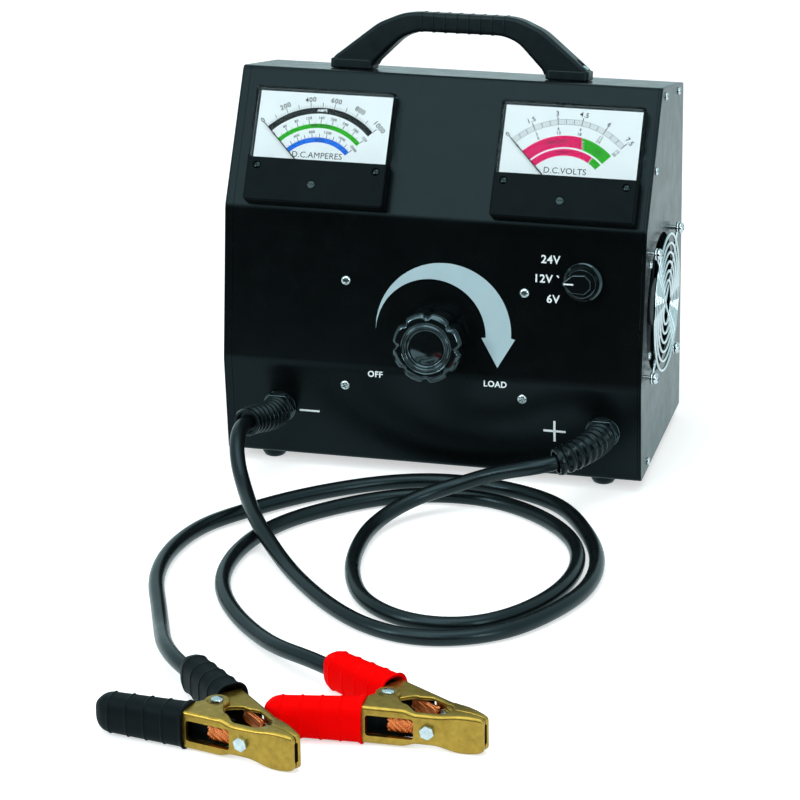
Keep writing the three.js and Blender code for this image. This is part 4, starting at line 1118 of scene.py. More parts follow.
@dataclass
class Ammeter(PanelMeter):
    """The left meter, with three rows."""

    def build(self) -> None:
        """Builds the meter and prints its dial."""
        super().build()
        amps = Scale(58.7, 63.9, 10, tuple(str(200 * k) for k in range(6)), 50, 4.2, 2.8, 4.0)
        hours = Scale(46.3, 50.1, 8, tuple(str(40 * k) for k in range(9)), 16, 3.4, 1.6, 2.2)
        cranking = Scale(34.0, 38.3, 10, ("", "400", "800", "1200", "1600", "2000"), 20, 3.0, 1.7, 2.2)
        black = [self.band(amps.inner, amps.outer, -45, 45)]
        for scale in (amps, hours, cranking):
            black += self.marks(scale, scale.marks, scale.mark_length, 0.55)
        black += self.numbers(amps)
        black += [self.unit("D.C.AMPERES"), self.band_word("AMP. HOUR", 48.2), self.band_word("CCA", 36.2)]
        self.print_ink("dial_black", Finish.INK_BLACK, black)
        pale = []
        for scale in (amps, hours, cranking):
            pale += self.marks(scale, scale.minor, scale.mark_length * 0.5, 0.28)
        pale += self.numbers(hours) + self.numbers(cranking)
        self.print_ink("dial_grey", Finish.INK_PALE, pale)
        self.print_ink("dial_green", Finish.INK_GREEN, [self.band(hours.inner, hours.outer, -45, 45)])
        self.print_ink("dial_blue", Finish.INK_BLUE, [self.band(cranking.inner, cranking.outer, -45, 45)])
        self.print_ink("dial_white", Finish.LABEL, [self.band_word("AMPS", 61.3, height=2.6, weight=0.04)])


@dataclass
class Voltmeter(PanelMeter):
    """The right meter, with a fine outer row and two coloured bands."""

    def build(self) -> None:
        """Builds the meter and prints its dial."""
        super().build()
        volts = Scale(62.1, 62.4, 15, ("0", "1.5", "3", "4.5", "6", "7.5"), 75, 4.0, 5.2, 3.9)
        black = self.marks(volts, 15, 4.0, 0.55) + self.marks(volts, 5, 6.4, 0.65) + self.numbers(volts)
        self.print_ink("dial_black", Finish.INK_BLACK, [*black, self.unit("D.C.VOLTS")])
        pale = [self.band(62.1, 62.35, -45, 45), self.band(66.3, 66.5, -45, 45)]
        pale += self.marks(volts, 75, 4.0, 0.2)
        pale += self.numbers(Scale(0, 56.5, 5, ("0", "3", "6", "9", "12", "15"), 0, 0, 2.2, 2.4))
        pale += self.numbers(Scale(0, 52.9, 5, ("", "6", "12", "18", "24", "30"), 0, 0, 2.2, 2.4))
        self.print_ink("dial_grey", Finish.INK_PALE, pale)
        seam = [(42.9, 15.0), (44.8, 17.2), (45.6, 13.8), (47.4, 16.0), (48.2, 12.6), (50.0, 14.8),
                (50.8, 11.4), (52.7, 12.6)]
        crimson = [self.band(42.9, 52.7, -45, 12.0), self.wedge(seam, 11.8), self.band(35.7, 41.5, -45, 31)]
        self.print_ink("dial_crimson", Finish.INK_CRIMSON, crimson)
        green = [self.band(42.9, 52.7, 17.6, 44.5), self.wedge([(r, a + 0.7) for r, a in seam], 17.8),
                 self.band(35.7, 41.5, 31.7, 44.5)]
        self.print_ink("dial_green", Finish.INK_GREEN, green)
        words = [("REPLACE", 47.6, -11, 3.0), ("OK", 47.4, 33, 3.0), ("CHARGE", 38.5, -6, 1.9)]
        self.print_ink("dial_words", Finish.INK_BLACK, [self.band_word(*word) for word in words])

    def wedge(self, seam: Sequence[Point], back: float) -> Piece:
        """Returns the strip of a coloured band between a zigzag seam and an angle.

        Args:
            seam: the seam's (radius, angle) points.
            back: the angle of the strip's straight side.

        Returns:
            The strip.
        """
        ring = [*seam, (seam[-1][0], back), (seam[0][0], back)]
        outline = [(r * math.sin(math.radians(a)), r * math.cos(math.radians(a))) for r, a in ring]
        return printed("wedge", outline, move(0, self.pivot, self.ink))


# Controls

@dataclass
class LoadControl:
    """The load knob: eight lobes, a grooved face and a dished middle."""

    radius: float = 30.0
    lobes: int = 8
    notch: float = 4.0
    sides: int = 192
    back: float = 2.0
    face: float = 29.0
    place: Matrix = CONTROL @ move(*LOAD_KNOB)

    def reach(self, angle: float) -> float:
        """Returns the knob's radius at an angle, with softened notches.

        Args:
            angle: the angle about the middle, in radians.

        Returns:
            The radius.
        """
        apart = (angle * self.lobes / FULL_TURN + 0.5) % 1 - 0.5
        offset = abs(apart) * FULL_TURN / self.lobes * self.radius
        depth = self.notch * 0.72
        return self.radius - depth / (1 + (offset / (self.notch * 0.62)) ** 4)

    def ring(self, height: float, inset: float, roundness: float = 0.0) -> Ring:
        """Returns one ring of the knob.

        Args:
            height: its height over the panel.
            inset: how far it is drawn in.
            roundness: 0 for the full lobes, 1 for a plain circle.

        Returns:
            The ring.
        """
        points = []
        core = self.radius - self.notch * 0.7
        for index in range(self.sides):
            angle = FULL_TURN * index / self.sides
            reach = self.reach(angle) * (1 - roundness) + core * roundness - inset
            points.append(Vector((*polar(reach, angle), height)))
        return points

    def build(self) -> None:
        """Builds the knob and gives the inner parts their finish."""
        low, high = self.back, self.face
        lobed = [(low, 2.2, 0), (low + 0.4, 1.4, 0), (low + 2.4, 0.5, 0), (low + 5.5, 0, 0),
                 (high - 6.5, 0, 0), (high - 4, 0.35, 0), (high - 2.4, 1.1, 0), (high - 1.2, 2.2, 0.12),
                 (high - 0.4, 3.4, 0.4)]
        rings = [self.ring(*values) for values in lobed]
        face = [(21.6, -0.3), (21.0, -0.9), (20.2, -1.2), (19.6, -0.9), (19.1, -0.2), (18.4, 0),
                (17.6, -0.2), (17.0, -0.9), (16.6, -2.0), (15.9, -3.0), (15.0, -3.6), (13.8, -3.5),
                (11.5, -3.0), (8.5, -2.55), (5.5, -2.3), (2.5, -2.2)]
        rings += [circle(radius, high + offset, self.sides) for radius, offset in face]
        dress(loft("load_knob_moulding", rings), Finish.PHENOLIC, "load_knob", "load_knob", place=self.place,
              smooth=50)
        repaint(Finish.ZINC, "load_screw", "pressure_plate", "pile_frame")
        repaint(Finish.CARBON, "carbon_pile")
        repaint(Finish.BUSBAR, "current_shunt")
        self.screws()

    def screws(self) -> None:
        """Builds the four screws that carry the pile's frame."""
        levels = (("upper", CONTROL, UPPER_SCREWS_UP), ("lower", CHIN, LOWER_SCREWS_UP))
        for (name, face, along), (hand, across) in product(levels, FRAME_SCREWS.items()):
            place = face @ move(across, along, 0.3) @ turn(25)
            CrossScrew(4.2, 2.4, 2, 9).fit(
                f"panel_screw_{name}_{hand}", Finish.ZINC, f"control_screw_{name}_{hand}", place)


@dataclass
class VoltageSelector:
    """The pointer knob of the voltage selector and the switch behind the panel."""

    place: Matrix = CONTROL @ move(*SELECTOR)

    def build(self) -> None:
        """Builds the knob with its raised bar and its white line."""
        skirt = lathe("selector_knob_moulding", [
            (3, -14), (3, 7.2), (5.1, 7.3), (5.1, 0.6), (16.0, 0.6), (16.4, 1.0), (16.4, 3.2), (16.0, 3.9),
            (14.6, 4.8), (13.6, 6.6), (12.6, 11.4), (12.0, 12.2), (10.8, 12.6), (4, 12.7),
        ], 72)
        corners = [(-15.8, 0), (-7, -7.6), (3.5, -8.2), (8.6, -3.4), (8.6, 3.4), (3.5, 8.2), (-7, 7.6)]
        bar_outline = rounded(corners, [1, 3, 1.5, 1.5, 1.5, 1.5, 3], 15)
        bar = soften(slab("bar", bar_outline, 2.4, 16.0), 1.1, 3, 50)
        knob = join("selector_knob_moulding", skirt, bar)
        dress(knob, Finish.PHENOLIC, "selector_knob", "selector_knob", place=self.place)
        line = soften(slab("selector_pointer_line", rounded_oblong(8.2, 1.3, 0.6), 15.95, 16.08), 0.03, 1)
        dress(line, Finish.LABEL, "selector_knob", place=self.place @ move(-9.6, 0))
        repaint(Finish.PLASTIC, "selector_switch")


@dataclass
class FrontPrint:
    """The printed words, signs and arrow of the front."""

    lift: float = 0.06

    def build(self) -> None:
        """Prints everything on the front."""
        self.arrow()
        words = [("OFF", -46.5, -3.7, 5.1), ("LOAD", 56.3, -4.2, 5.1), ("24V", 99.8, 104.1, 6.9),
                 ("12V", 94.0, 87.8, 6.9), ("6V", 102.9, 71.2, 6.9)]
        pieces = [lettering("word", text, size, move(x, y, self.lift), 0.2, 1.08)
                  for text, x, y, size in words]
        tick = printed("tick", rounded_oblong(2.6, 1.3, 0.5), move(106.4, 90.6, self.lift) @ turn(-50))
        dress(join("control_labels", *pieces, tick), Finish.LABEL, "case", place=CONTROL)
        minus = self.stroke(-105.3, -42.5, 17.5, 1.7)
        plus = [self.stroke(106, -43.1, 19, 1.9), self.stroke(106, -43.1, 1.9, 19)]
        dress(join("pole_signs", minus, *plus), Finish.LABEL, "case", place=CHIN)

    def stroke(self, across: float, along: float, width: float, height: float) -> Piece:
        """Returns one printed bar of a sign."""
        return printed("stroke", rounded_oblong(width, height, 0.2), move(across, along, self.lift))

    def arrow(self) -> None:
        """Prints the crescent arrow over the load knob."""
        outer_middle, outer = Vector((11, 37.6)), 57.7
        inner_middle, inner = Vector((0.35, 34.1)), 46.95
        steps = 48
        over = [outer_middle + polar(1, math.radians(182.6 - 184.4 * k / steps)) * outer
                for k in range(steps + 1)]
        under = [inner_middle + polar(1, math.radians(1.0 + 178.0 * k / steps)) * inner
                 for k in range(steps)]
        head = [Vector((72.1, 34.8)), Vector((57.8, 10)), Vector((43.6, 34.4))]
        arrow = printed("load_arrow", over + head + under, move(0, 0, self.lift))
        dress(arrow, Finish.ARROW, "case", place=CONTROL)


# Fan

@dataclass
class CoolingFan:
    """The fan behind the right side, with its wire guard."""

    rings: int = 6
    outer: float = 57.5
    pitch: float = 7.8
    wire: float = 1.25
    standoff: float = 5.0
    blades: int = 7

    def build(self) -> None:
        """Builds the guard, its screws and the rotor."""
        self.guard()
        self.rotor()
        repaint(Finish.PLASTIC, "fan_frame")
        for index, (level, hand) in enumerate(product((1, -1), (-1, 1)), 1):
            out = self.standoff + self.wire + 0.3
            CrossScrew(4.8, 3.8, 2, 12).fit(
                f"guard_screw_{index}", Finish.CHROME, f"fan_screw_{index}",
                FAN @ move(hand * FAN_SCREW, level * FAN_SCREW, out) @ turn(20))

    def guard(self) -> None:
        """Builds the welded rings, spokes and screw loops of the guard."""
        plane = self.standoff + self.wire
        pieces = []
        for index in range(self.rings):
            line = circle(self.outer - index * self.pitch, plane, 72)
            pieces.append(sweep("ring", line, self.wire, 10, closed=True))
        loop_radius = 3.9
        reach = FAN_SCREW * math.sqrt(2) - loop_radius
        for angle in (45, 135):
            line = [Vector((x, 0, plane - self.wire)) for x in (-reach, -reach / 2, 0, reach / 2, reach)]
            pieces.append(shifted(sweep("spoke", line, self.wire, 10), turn(angle)))
        for hand, level in product((-1, 1), repeat=2):
            loop = sweep("loop", circle(loop_radius, plane - self.wire, 24), self.wire, 10, closed=True)
            pieces.append(shifted(loop, move(hand * FAN_SCREW, level * FAN_SCREW)))
        dress(join("guard_wires", *pieces), Finish.CHROME, "case", "fan_guard", place=FAN, smooth=60)

    def rotor(self) -> None:
        """Builds the hub and its curved, twisted blades."""
        low, high = -24.0, -3.9
        hub = lathe("fan_rotor_moulding", [
            (19.4, low), (20, low + 0.6), (20, high - 1.6), (19.5, high - 0.5), (18.4, high), (8, high),
            (7.6, high - 0.4),
        ], 56)
        middle = (low + high) / 2
        blades = [self.blade(FULL_TURN * index / self.blades, middle) for index in range(self.blades)]
        dress(join("fan_rotor_moulding", hub, *blades), Finish.PLASTIC, "fan_rotor", "fan_rotor", place=FAN)

    def blade(self, around: float, middle: float) -> Piece:
        """Returns one blade, swept forward and flatter towards its tip.

        Args:
            around: the angle of its root, in radians.
            middle: its middle height.

        Returns:
            The blade.
        """
        rings, sections, spans, thick = [], 6, 8, 1.5
        for step in range(sections + 1):
            share = step / sections
            radius = 19 + 36 * share
            pitch = math.radians(46 - 16 * share)
            chord = 19 + 5 * share
            sweep_back = around + 0.16 * share
            ring = []
            for part in range(spans + 1):
                along = (part / spans - 0.5) * chord
                bow = 1.6 * (1 - (2 * part / spans - 1) ** 2)
                ring.append((along, bow + thick / 2))
            ring += [(along, bow - thick) for along, bow in reversed(ring)]
            points = []
            for along, bow in ring:
                flat = along * math.cos(pitch) - bow * math.sin(pitch)
                rise = along * math.sin(pitch) + bow * math.cos(pitch)
                angle = sweep_back + flat / radius
                points.append(Vector((*polar(radius, angle), middle + rise)))
            rings.append(points)
        return loft("blade", rings)


# Leads

def lead_line(points: Sequence[Triple], step: float = 3.0) -> list[Vector]:
    """Runs a smooth centripetal curve through the points of a route.

    Args:
        points: the route.
        step: distance between two points of the result.

    Returns:
        Evenly spaced points on the curve.
    """
    route = [Vector(point) for point in points]
    route = [2 * route[0] - route[1], *route, 2 * route[-1] - route[-2]]
    steps = 40
    dense = []
    for p0, p1, p2, p3 in zip(route, route[1:], route[2:], route[3:]):
        d0, d1, d2 = (math.sqrt((b - a).length) for a, b in ((p0, p1), (p1, p2), (p2, p3)))
        t1 = ((p1 - p0) / d0 - (p2 - p0) / (d0 + d1) + (p2 - p1) / d1) * d1
        t2 = ((p2 - p1) / d1 - (p3 - p1) / (d1 + d2) + (p3 - p2) / d2) * d1
        for k in range(steps):
            t = k / steps
            bend = (3 * (p2 - p1) - 2 * t1 - t2) * t ** 2 + (2 * (p1 - p2) + t1 + t2) * t ** 3
            dense.append(p1 + t1 * t + bend)
    dense.append(route[-2])
    return evenly(dense, round(path_length(dense) / step))


@dataclass
class Lead:
    """One lead: its gland nut, its ribbed boot and the cord to its clamp."""

    sign: str
    gland: float
    boot_length: float
    beside_gland: tuple[Triple, ...]
    route: tuple[Triple, ...]
    radius: float = 6.25
    nut_top: float = 9.3
    ribs: int = 9
    smoothing: int = 40

    def build(self, clamp_end: Sequence[Triple], clamp_pieces: Sequence[str]) -> None:
        """Args:
            clamp_end: its last points, from behind the clamp's grip to the crimp.
            clamp_pieces: the names of the pieces at its far end; not used.
        """
        nut_place = CHIN @ move(self.gland, GLANDS_UP)
        to_mm = CASE.inverted()
        roots = [to_mm @ nut_place @ Vector((0, 0, out)) for out in (self.nut_top + 0.3, self.nut_top + 8.3)]
        beside = [(self.gland + x, y, z) for x, y, z in self.beside_gland]
        line = lead_line([*roots, *beside, *self.route, *clamp_end])
        for _ in range(self.smoothing):
            line = [line[0], *((a + 2 * b + c) / 4 for a, b, c in zip(line, line[1:], line[2:])), line[-1]]
        length = path_length(line)
        self.nut(nut_place)
        boot = self.boot(line, length)
        cord = sweep(f"{self.sign}_lead_sleeving", line, self.radius, 24)
        dress(cord, Finish.SLEEVING, "case", f"{self.sign}_lead", place=CASE, smooth=60)

    def nut(self, place: Matrix) -> None:
        """Builds the gland: a round flange, a hexagon and a threaded tail.

        Args:
            place: the gland's frame.
        """
        flange = lathe("flange", [(13.8, 0.3), (14.4, 0.6), (14.4, 1.9), (13.6, 2.3)], 64)
        nut = hexagon("hexagon", 14.6, 2.0, 7.6, 0.9, 3)
        collar = lathe("collar", [(12.2, 7.2), (12.2, 8.8), (11.8, 9.3)], 64)
        thread = lathe("thread", [(9, -12)] + [(9 - 0.5 * (k % 2), -11.5 + 1.0 * k) for k in range(13)], 40)
        whole = join(f"{self.sign}_gland", flange, nut, collar, thread)
        dress(whole, Finish.PHENOLIC, "case", f"{self.sign}_gland_nut", place=place)

    def boot(self, line: list[Vector], length: float) -> Piece:
        """Builds the ribbed boot round the first stretch of the lead.

        Args:
            line: the lead's centreline.
            length: its whole length.

        Returns:
            The boot.
        """
        spacing = length / (len(line) - 1)
        sections_in_rib = 12
        count = self.ribs * sections_in_rib
        points, radii = [], []
        for index in range(count + 1):
            at = self.boot_length * index / count / spacing
            low = int(at)
            points.append(line[low].lerp(line[low + 1], at - low))
            share = index / count
            wave = 0.5 - 0.5 * math.cos(FULL_TURN * share * self.ribs)
            groove = 2.6 * (1 - min(1.0, wave * 1.4))
            radii.append(13.3 - 1.5 * share - groove * (1 if 0.03 < share < 0.97 else 0.3))
        boot = sweep(f"{self.sign}_boot_moulding", points, radii, 40)
        carve(boot, sweep("cutter", [points[-1].lerp(points[-9], along) for along in (-0.6, 0, 1)], 9.2, 32))
        return dress(boot, Finish.RUBBER, "case", f"{self.sign}_boot", place=CASE, smooth=70)


MINUS_LEAD = Lead(
    "minus", MINUS_GLAND, 52,
    ((-1.3, -30, 54), (-14.4, -62.8, 61.5), (-14.1, -83.7, 58.6)),
    ((-138, -106.9, 42), (-127.4, -124.1, 29.2), (-104.6, -168.5, 21.3), (-70.9, -211.9, 8.2),
     (-39.9, -252.4, 6.5), (-4, -291.2, 6.5), (27.4, -314.2, 6.4), (62.9, -325, 6.4), (98.3, -318.9, 6.5),
     (131.9, -297, 6.4), (158.8, -255.9, 6.5), (174.8, -208.1, 6.4), (172.4, -154, 6.4),
     (152.7, -102.2, 6.4), (118.7, -51.9, 6.5), (66.3, -27.1, 6.5), (15.3, -22.8, 6.4),
     (-13.2, -29.3, 6.4), (-49.1, -47.4, 6.4), (-93.3, -81.8, 6.4), (-123.2, -114.6, 6.4),
     (-152.6, -155.7, 6.5), (-164.1, -208, 6.4),
     (-158.8, -261.9, 6.5), (-141, -311, 6.5), (-124.5, -354.5, 7.6), (-111, -389.5, 13)))

PLUS_LEAD = Lead(
    "plus", PLUS_GLAND, 62,
    ((-3.9, -37.5, 54.3), (-22.8, -64.4, 49.5)),
    ((100.9, -72.4, 45.2), (73, -67.5, 37.5), (57.9, -66.3, 30.9), (39.5, -69.8, 24.5), (5.8, -88.5, 16),
     (-16.7, -123.7, 8.2), (-19.4, -172, 6.5), (-11.1, -220, 6.5), (8.8, -264.8, 6.4), (37.3, -290.1, 6.4),
     (70, -300, 6.4), (104.9, -291.9, 6.4), (135.7, -260.6, 6.4), (156.8, -208.4, 6.4), (157.6, -157, 6.4),
     (142.6, -116.3, 6.4), (109.2, -78.9, 6.5), (63.2, -54.7, 6.5), (22.2, -53, 6.4), (-17.2, -65.4, 6.4),
     (-59.8, -98.2, 6.4), (-91.5, -136.4, 6.4), (-108.9, -184, 6.4), (-110.5, -236.9, 6.4),
     (-99.1, -278.5, 6.5), (-75.8, -317.8, 6.5), (-49.9, -349.8, 8.1), (-24.6, -377.2, 12.3)))


# Clamps

@dataclass(frozen=True)
class Half:
    """One half of a clamp: its side, 1 for the fixed jaw or -1 for the moving one, its name and its body."""

    side: int
    name: str
    body: str


@dataclass
class BrassClamp:
    """A spring clamp: two brass jaws on a pin, rubber grips, a spring, a bolt and copper links."""

    sign: str
    across: float
    back: float
    angle: float
    grip_finish: Finish
    height: float = 16.2
    nose_reach: float = 80.0
    nose_half: float = 4.5
    arm_turn: float = math.radians(16.5)
    grip_turn: float = math.radians(6)
    sleeve_start: float = 88.0
    sleeve_end: float = 159.0
    thick: float = 25.0
    outside: float = 3.5
    half_height: float = 16.0
    near_half: float = 14.5
    wall: float = 3.0
    pin_bore: float = 3.2
    crimp: float = 100.0
    lead_inset: float = 10.5

    @property
    def place(self) -> Matrix:
        """Returns the frame of the clamp, with its pin along Z."""
        return CASE @ move(self.across, self.back, self.height) @ turn(self.angle)

    @property
    def halves(self) -> tuple[Half, Half]:
        """Returns the fixed half and the moving half."""
        return Half(1, "fixed", "case"), Half(-1, "moving", f"{self.sign}_clamp_lever")

    def arm(self, back: float, inward: float, side: int, level: float = 0.0) -> Vector:
        """Gives a point along an arm.

        Args:
            back: distance back from the nose.
            inward: distance in from the arm's outer face.
            side: 1 for the fixed jaw, -1 for the moving one.
            level: height over the middle.

        Returns:
            The point, in the clamp's frame.
        """
        straight = min(back, self.sleeve_start)
        bent = self.arm_turn + (self.grip_turn if back > self.sleeve_start and side < 0 else 0)
        rest = back - straight
        run, rise = math.cos(bent), math.sin(bent)
        x = self.nose_reach - straight * math.cos(self.arm_turn) - rest * run - inward * rise
        y = self.nose_half + straight * math.sin(self.arm_turn) + rest * rise - inward * run
        return Vector((x, side * y, level))

    def lead_end(self) -> tuple[Triple, ...]:
        """Returns the points of the lead from behind the grip to its crimp, in case millimetres.

        Returns:
            The points, from the free lead to the crimp.
        """
        to_case = CASE.inverted() @ self.place
        backs = (self.sleeve_end + 18, self.sleeve_end, (self.sleeve_end + self.crimp) / 2, self.crimp)
        return tuple(tuple(to_case @ self.arm(back, self.lead_inset, 1)) for back in backs)

    def build(self) -> None:
        """Builds the whole clamp."""
        for half in self.halves:
            self.jaw(half)
            self.grip(half)
            self.bolt(half)
            self.link(half)
        self.painted_shade_sheets()
        self.pin()
        self.spring()

    def pieces(self) -> list[str]:
        """Returns the names of the clamp's pieces.

        Returns:
            The names.
        """
        parts = ("jaw_brass", "grip_sleeve", "jaw_bolt", "copper_link", "jaw_painted_shade_sheet")
        names = [f"{self.sign}_{half.name}_{part}" for half in self.halves for part in parts]
        return [*names, f"{self.sign}_pivot_pin", f"{self.sign}_torsion_spring"]

    def channel_ring(self, side: int, back: float, shape: Sequence[float]) -> Ring:
        """Returns one section of a jaw, a channel of thick sheet that is open inwards.

        Args:
            side: 1 for the fixed jaw, -1 for the moving one.
            back: the section's distance back from the nose.
            shape: inset of the outer face, rise, drop, depth of the flanges, depth of the web's inner face.

        Returns:
            The ring.
        """
        inset, rise, drop, depth, web = shape
        corners = [(inset, -drop), (depth, -drop), (depth, self.wall - drop), (web, self.wall - drop),
                   (web, rise - self.wall), (depth, rise - self.wall), (depth, rise), (inset, rise)]
        outside = min(2.6, 0.45 * (depth - inset))
        tip = min(1.2, 0.4 * (depth - web))
        inside = 0.4 * min(2, depth - web)
        radii = [outside, tip, tip, inside, inside, tip, tip, outside]
        return [self.arm(back, point.x, side, point.y) for point in rounded(corners, radii, 30)]

    def jaw(self, part: Half) -> None:
        """Builds one stamped jaw: a solid nose, a low lip, a deeper channel with an ear, and a tang.

        Args:
            part: the half of the clamp.
        """
        side = part.side
        half = self.near_half if side < 0 else self.near_half - 3.3
        lip = min(11.8, half)
        stations = [
            (0, 1.3, 9.8, 10.9, 4.1, 3), (0.5, 0.6, 11, 12.3, 4.5, 3.2), (1.3, 0.2, 11.8, 13.2, 4.8, 3.5),
            (2.5, 0, 12.5, 14.1, 5.2, 3.9), (6, 0, 13.2, 15.3, 6.3, 5.0), (12, 0, 13.6, 16, 8.0, 6.6),
            (18, 0, 13.5, 15.9, 9.8, 8.3), (22, 0, 13.2, 15.3, 10.9, 9.2), (24, 0, 13.0, 14.8, 11.2, 9.0),
            (26, 0, 12.7, 14.2, 9.9, 6.6), (28, 0, 12.45, 13.6, 8.2, 4.4), (30, 0, 12.2, 13.1, 7.0, 3.4),
            (32.5, 0, 12.0, 12.5, 6.2, 3), (36, 0, lip, lip + 0.1, 6, 3), (42, 0, lip, lip, 6, 3),
            (49, 0, lip, lip, 6, 3)]
        for step in range(1, 9):
            share = step / 8
            share = share * share * (3 - 2 * share)
            level = lip + (half - lip) * share
            stations.append((49 + 1.4 * step, 0, level, level, 6 + 6 * share, 3))
        ear = [(61.5, 12.9), (63, 14.6), (64.5, 17), (66, 20), (67.5, 23.2), (69, 26), (70.5, 28),
               (72.5, 29), (76, 29), (79, 28), (82, 25.5), (85, 21.8), (87, 19.2), (89, 17.5)]
        stations += [(back, 0, half, half, depth, 3) for back, depth in ear]
        channel = loft("channel", [self.channel_ring(side, back, shape) for back, *shape in stations])
        opening = rounded_oblong(35, 16, 2.5)
        rings = [[self.arm(68.5 + along, inward, side, up) for along, up in opening] for inward in (-2, 5)]
        carve(channel, loft("cutter", rings), bore(self.pin_bore, -20, 20, move()))
        soften(channel, 0.45, 2, 45)
        pieces = [channel]
        for level in (-half, half - self.wall):
            profile = [(8, 0), (8.8, 0.3), (9.1, 1), (9.1, 2), (8.8, 2.7), (8, self.wall)]
            disc = lathe("ear", [(radius, level + rise) for radius, rise in profile], 48)
            pieces.append(carve(disc, bore(self.pin_bore, -20, 20, move())))
        section = ((0.2, -9), (2.8, -9), (2.8, 9), (0.2, 9))
        tang = [[self.arm(back, inward, side, up) for inward, up in section] for back in (86, 88, 91, 150)]
        pieces.append(soften(loft("tang", tang), 0.4, 2))
        dress(join(f"{self.sign}_{part.name}_jaw_brass", *pieces), Finish.BRASS, part.body,
              f"{self.sign}_clamp_{part.name}_jaw", place=self.place, smooth=42)

    def grip_ring(self, side: int, back: float, swell: float) -> Ring:
        """Returns one section of a grip, drawn out by a swell.

        Args:
            side: 1 for the fixed jaw, -1 for the moving one.
            back: the section's distance back from the nose.
            swell: how far it is drawn out.

        Returns:
            The ring.
        """
        middle = self.thick / 2 - self.outside
        corner, sides = 0.7, 48
        points = []
        for index in range(sides):
            angle = side * FULL_TURN * index / sides
            along, up = math.cos(angle), math.sin(angle)
            along = math.copysign(abs(along) ** corner, along)
            up = math.copysign(abs(up) ** corner, up)
            inward = middle + along * (self.thick / 2 + swell)
            points.append(self.arm(back, inward, side, up * (self.half_height + swell)))
        return points

    def grip(self, half: Half) -> None:
        """Builds one ribbed sleeve, open at its mouth, with a rounded end.

        Args:
            half: the half of the clamp.
        """
        start, end = self.sleeve_start, self.sleeve_end
        taper = -1.9 / (end - start)
        stops = [(start, 0.9), (start + 0.5, 1.2), (start + 1.3, 1.2), (start + 2.2, 0.5), (start + 4, 0)]
        for rib in range(4):
            middle = start + 16 + rib * 14.2
            profile = ((-1.6, 0), (-0.8, 0.25), (0, 0.65), (0.8, 0.25), (1.6, 0))
            stops += [(middle + back, swell) for back, swell in profile]
        tip = ((9, -0.3), (6.5, -1.0), (4.2, -2.2), (2.2, -3.9), (0.9, -5.4), (0.2, -6.6))
        stops += [(end - before, swell) for before, swell in tip]
        rings = [self.grip_ring(half.side, back, swell + taper * (back - start)) for back, swell in stops]
        sleeve = loft(f"{self.sign}_{half.name}_grip_sleeve", rings, open_start=True)
        modify(sleeve, "SOLIDIFY", thickness=2.4, offset=-1.0)
        if half.side > 0:
            line = [self.arm(back, self.lead_inset, 1) for back in (end - 14, end + 4)]
            carve(sleeve, sweep("cutter", line, 6.6, 32))
        dress(sleeve, self.grip_finish, half.body, f"{self.sign}_clamp_{half.name}_grip", place=self.place,
              smooth=50)

    def bolt(self, half: Half) -> None:
        """Builds the bolt that holds the copper link to a jaw, with its nut inside.

        Args:
            half: the half of the clamp.
        """
        foot = self.arm(40.7, 0, half.side)
        outward = (self.arm(40.7, -1, half.side) - foot).normalized()
        aim = Vector((0, 0, 1)).rotation_difference(outward).to_matrix().to_4x4()
        head = hexagon("head", 5.6, 0.1, 3.3, 0.448, 2)
        nut = hexagon("nut", 5.2, -6.4, -3.4, 0.416, 2)
        shank = lathe("shank", [(2.4, -8.6), (2.6, -8.2), (2.6, 0.5)], 24)
        whole = join(f"{self.sign}_{half.name}_jaw_bolt", head, nut, shank)
        dress(whole, Finish.ZINC, half.body, place=self.place @ Matrix.Translation(foot) @ aim)

    def painted_shade_sheets(self) -> None:
        """Builds dark strips of painted shade, behind a window or across a channel, where the inside of the
        clamp lies in shade.
        """
        for half, depth, reach in zip(self.halves, (3.4, 10.6), (7.9, 11.3)):
            corners = [self.arm(back, depth + more, half.side)
                       for back, more in ((52, 0), (87, 0), (87, 0.8), (52, 0.8))]
            # painted shade: a dark vinyl strip that stands for the shade inside the jaw
            strip = slab(f"{self.sign}_{half.name}_jaw_liner", [(p.x, p.y) for p in corners], -reach, reach)
            dress(soften(strip, 0.25, 2), Finish.GRIP, half.body, place=self.place)

    def pin(self) -> None:
        """Builds the pivot pin with its two domed heads."""
        half = self.near_half + 0.3
        pin = lathe(f"{self.sign}_pivot_pin", [
            (1.2, -half - 1.3), (3.4, -half - 1.1), (4.4, -half - 0.5), (4.6, -half), (3, -half), (3, half),
            (4.6, half), (4.4, half + 0.6), (3.2, half + 1.2), (1.2, half + 1.4),
        ], 40)
        dress(pin, Finish.ZINC, "case", f"{self.sign}_clamp_pin", place=self.place)

    def spring(self) -> None:
        """Builds the torsion spring round the pin, with its two legs."""
        coils, radius, pitch, leg = 4, 4.8, 2.7, 9.0
        line = [Vector((radius, -leg * (1 - k / 4), -coils * pitch / 2)) for k in range(4)]
        steps = coils * 28
        for step in range(steps + 1):
            angle = FULL_TURN * coils * step / steps
            rise = (step / steps - 0.5) * coils * pitch
            line.append(Vector((*polar(radius, angle), rise)))
        line += [Vector((radius, leg * (k + 1) / 4, coils * pitch / 2)) for k in range(4)]
        wire = shifted(sweep(f"{self.sign}_torsion_spring", line, 1.1, 12), turn(-90))
        dress(wire, Finish.ZINC, "case", f"{self.sign}_clamp_spring", place=self.place, smooth=60)

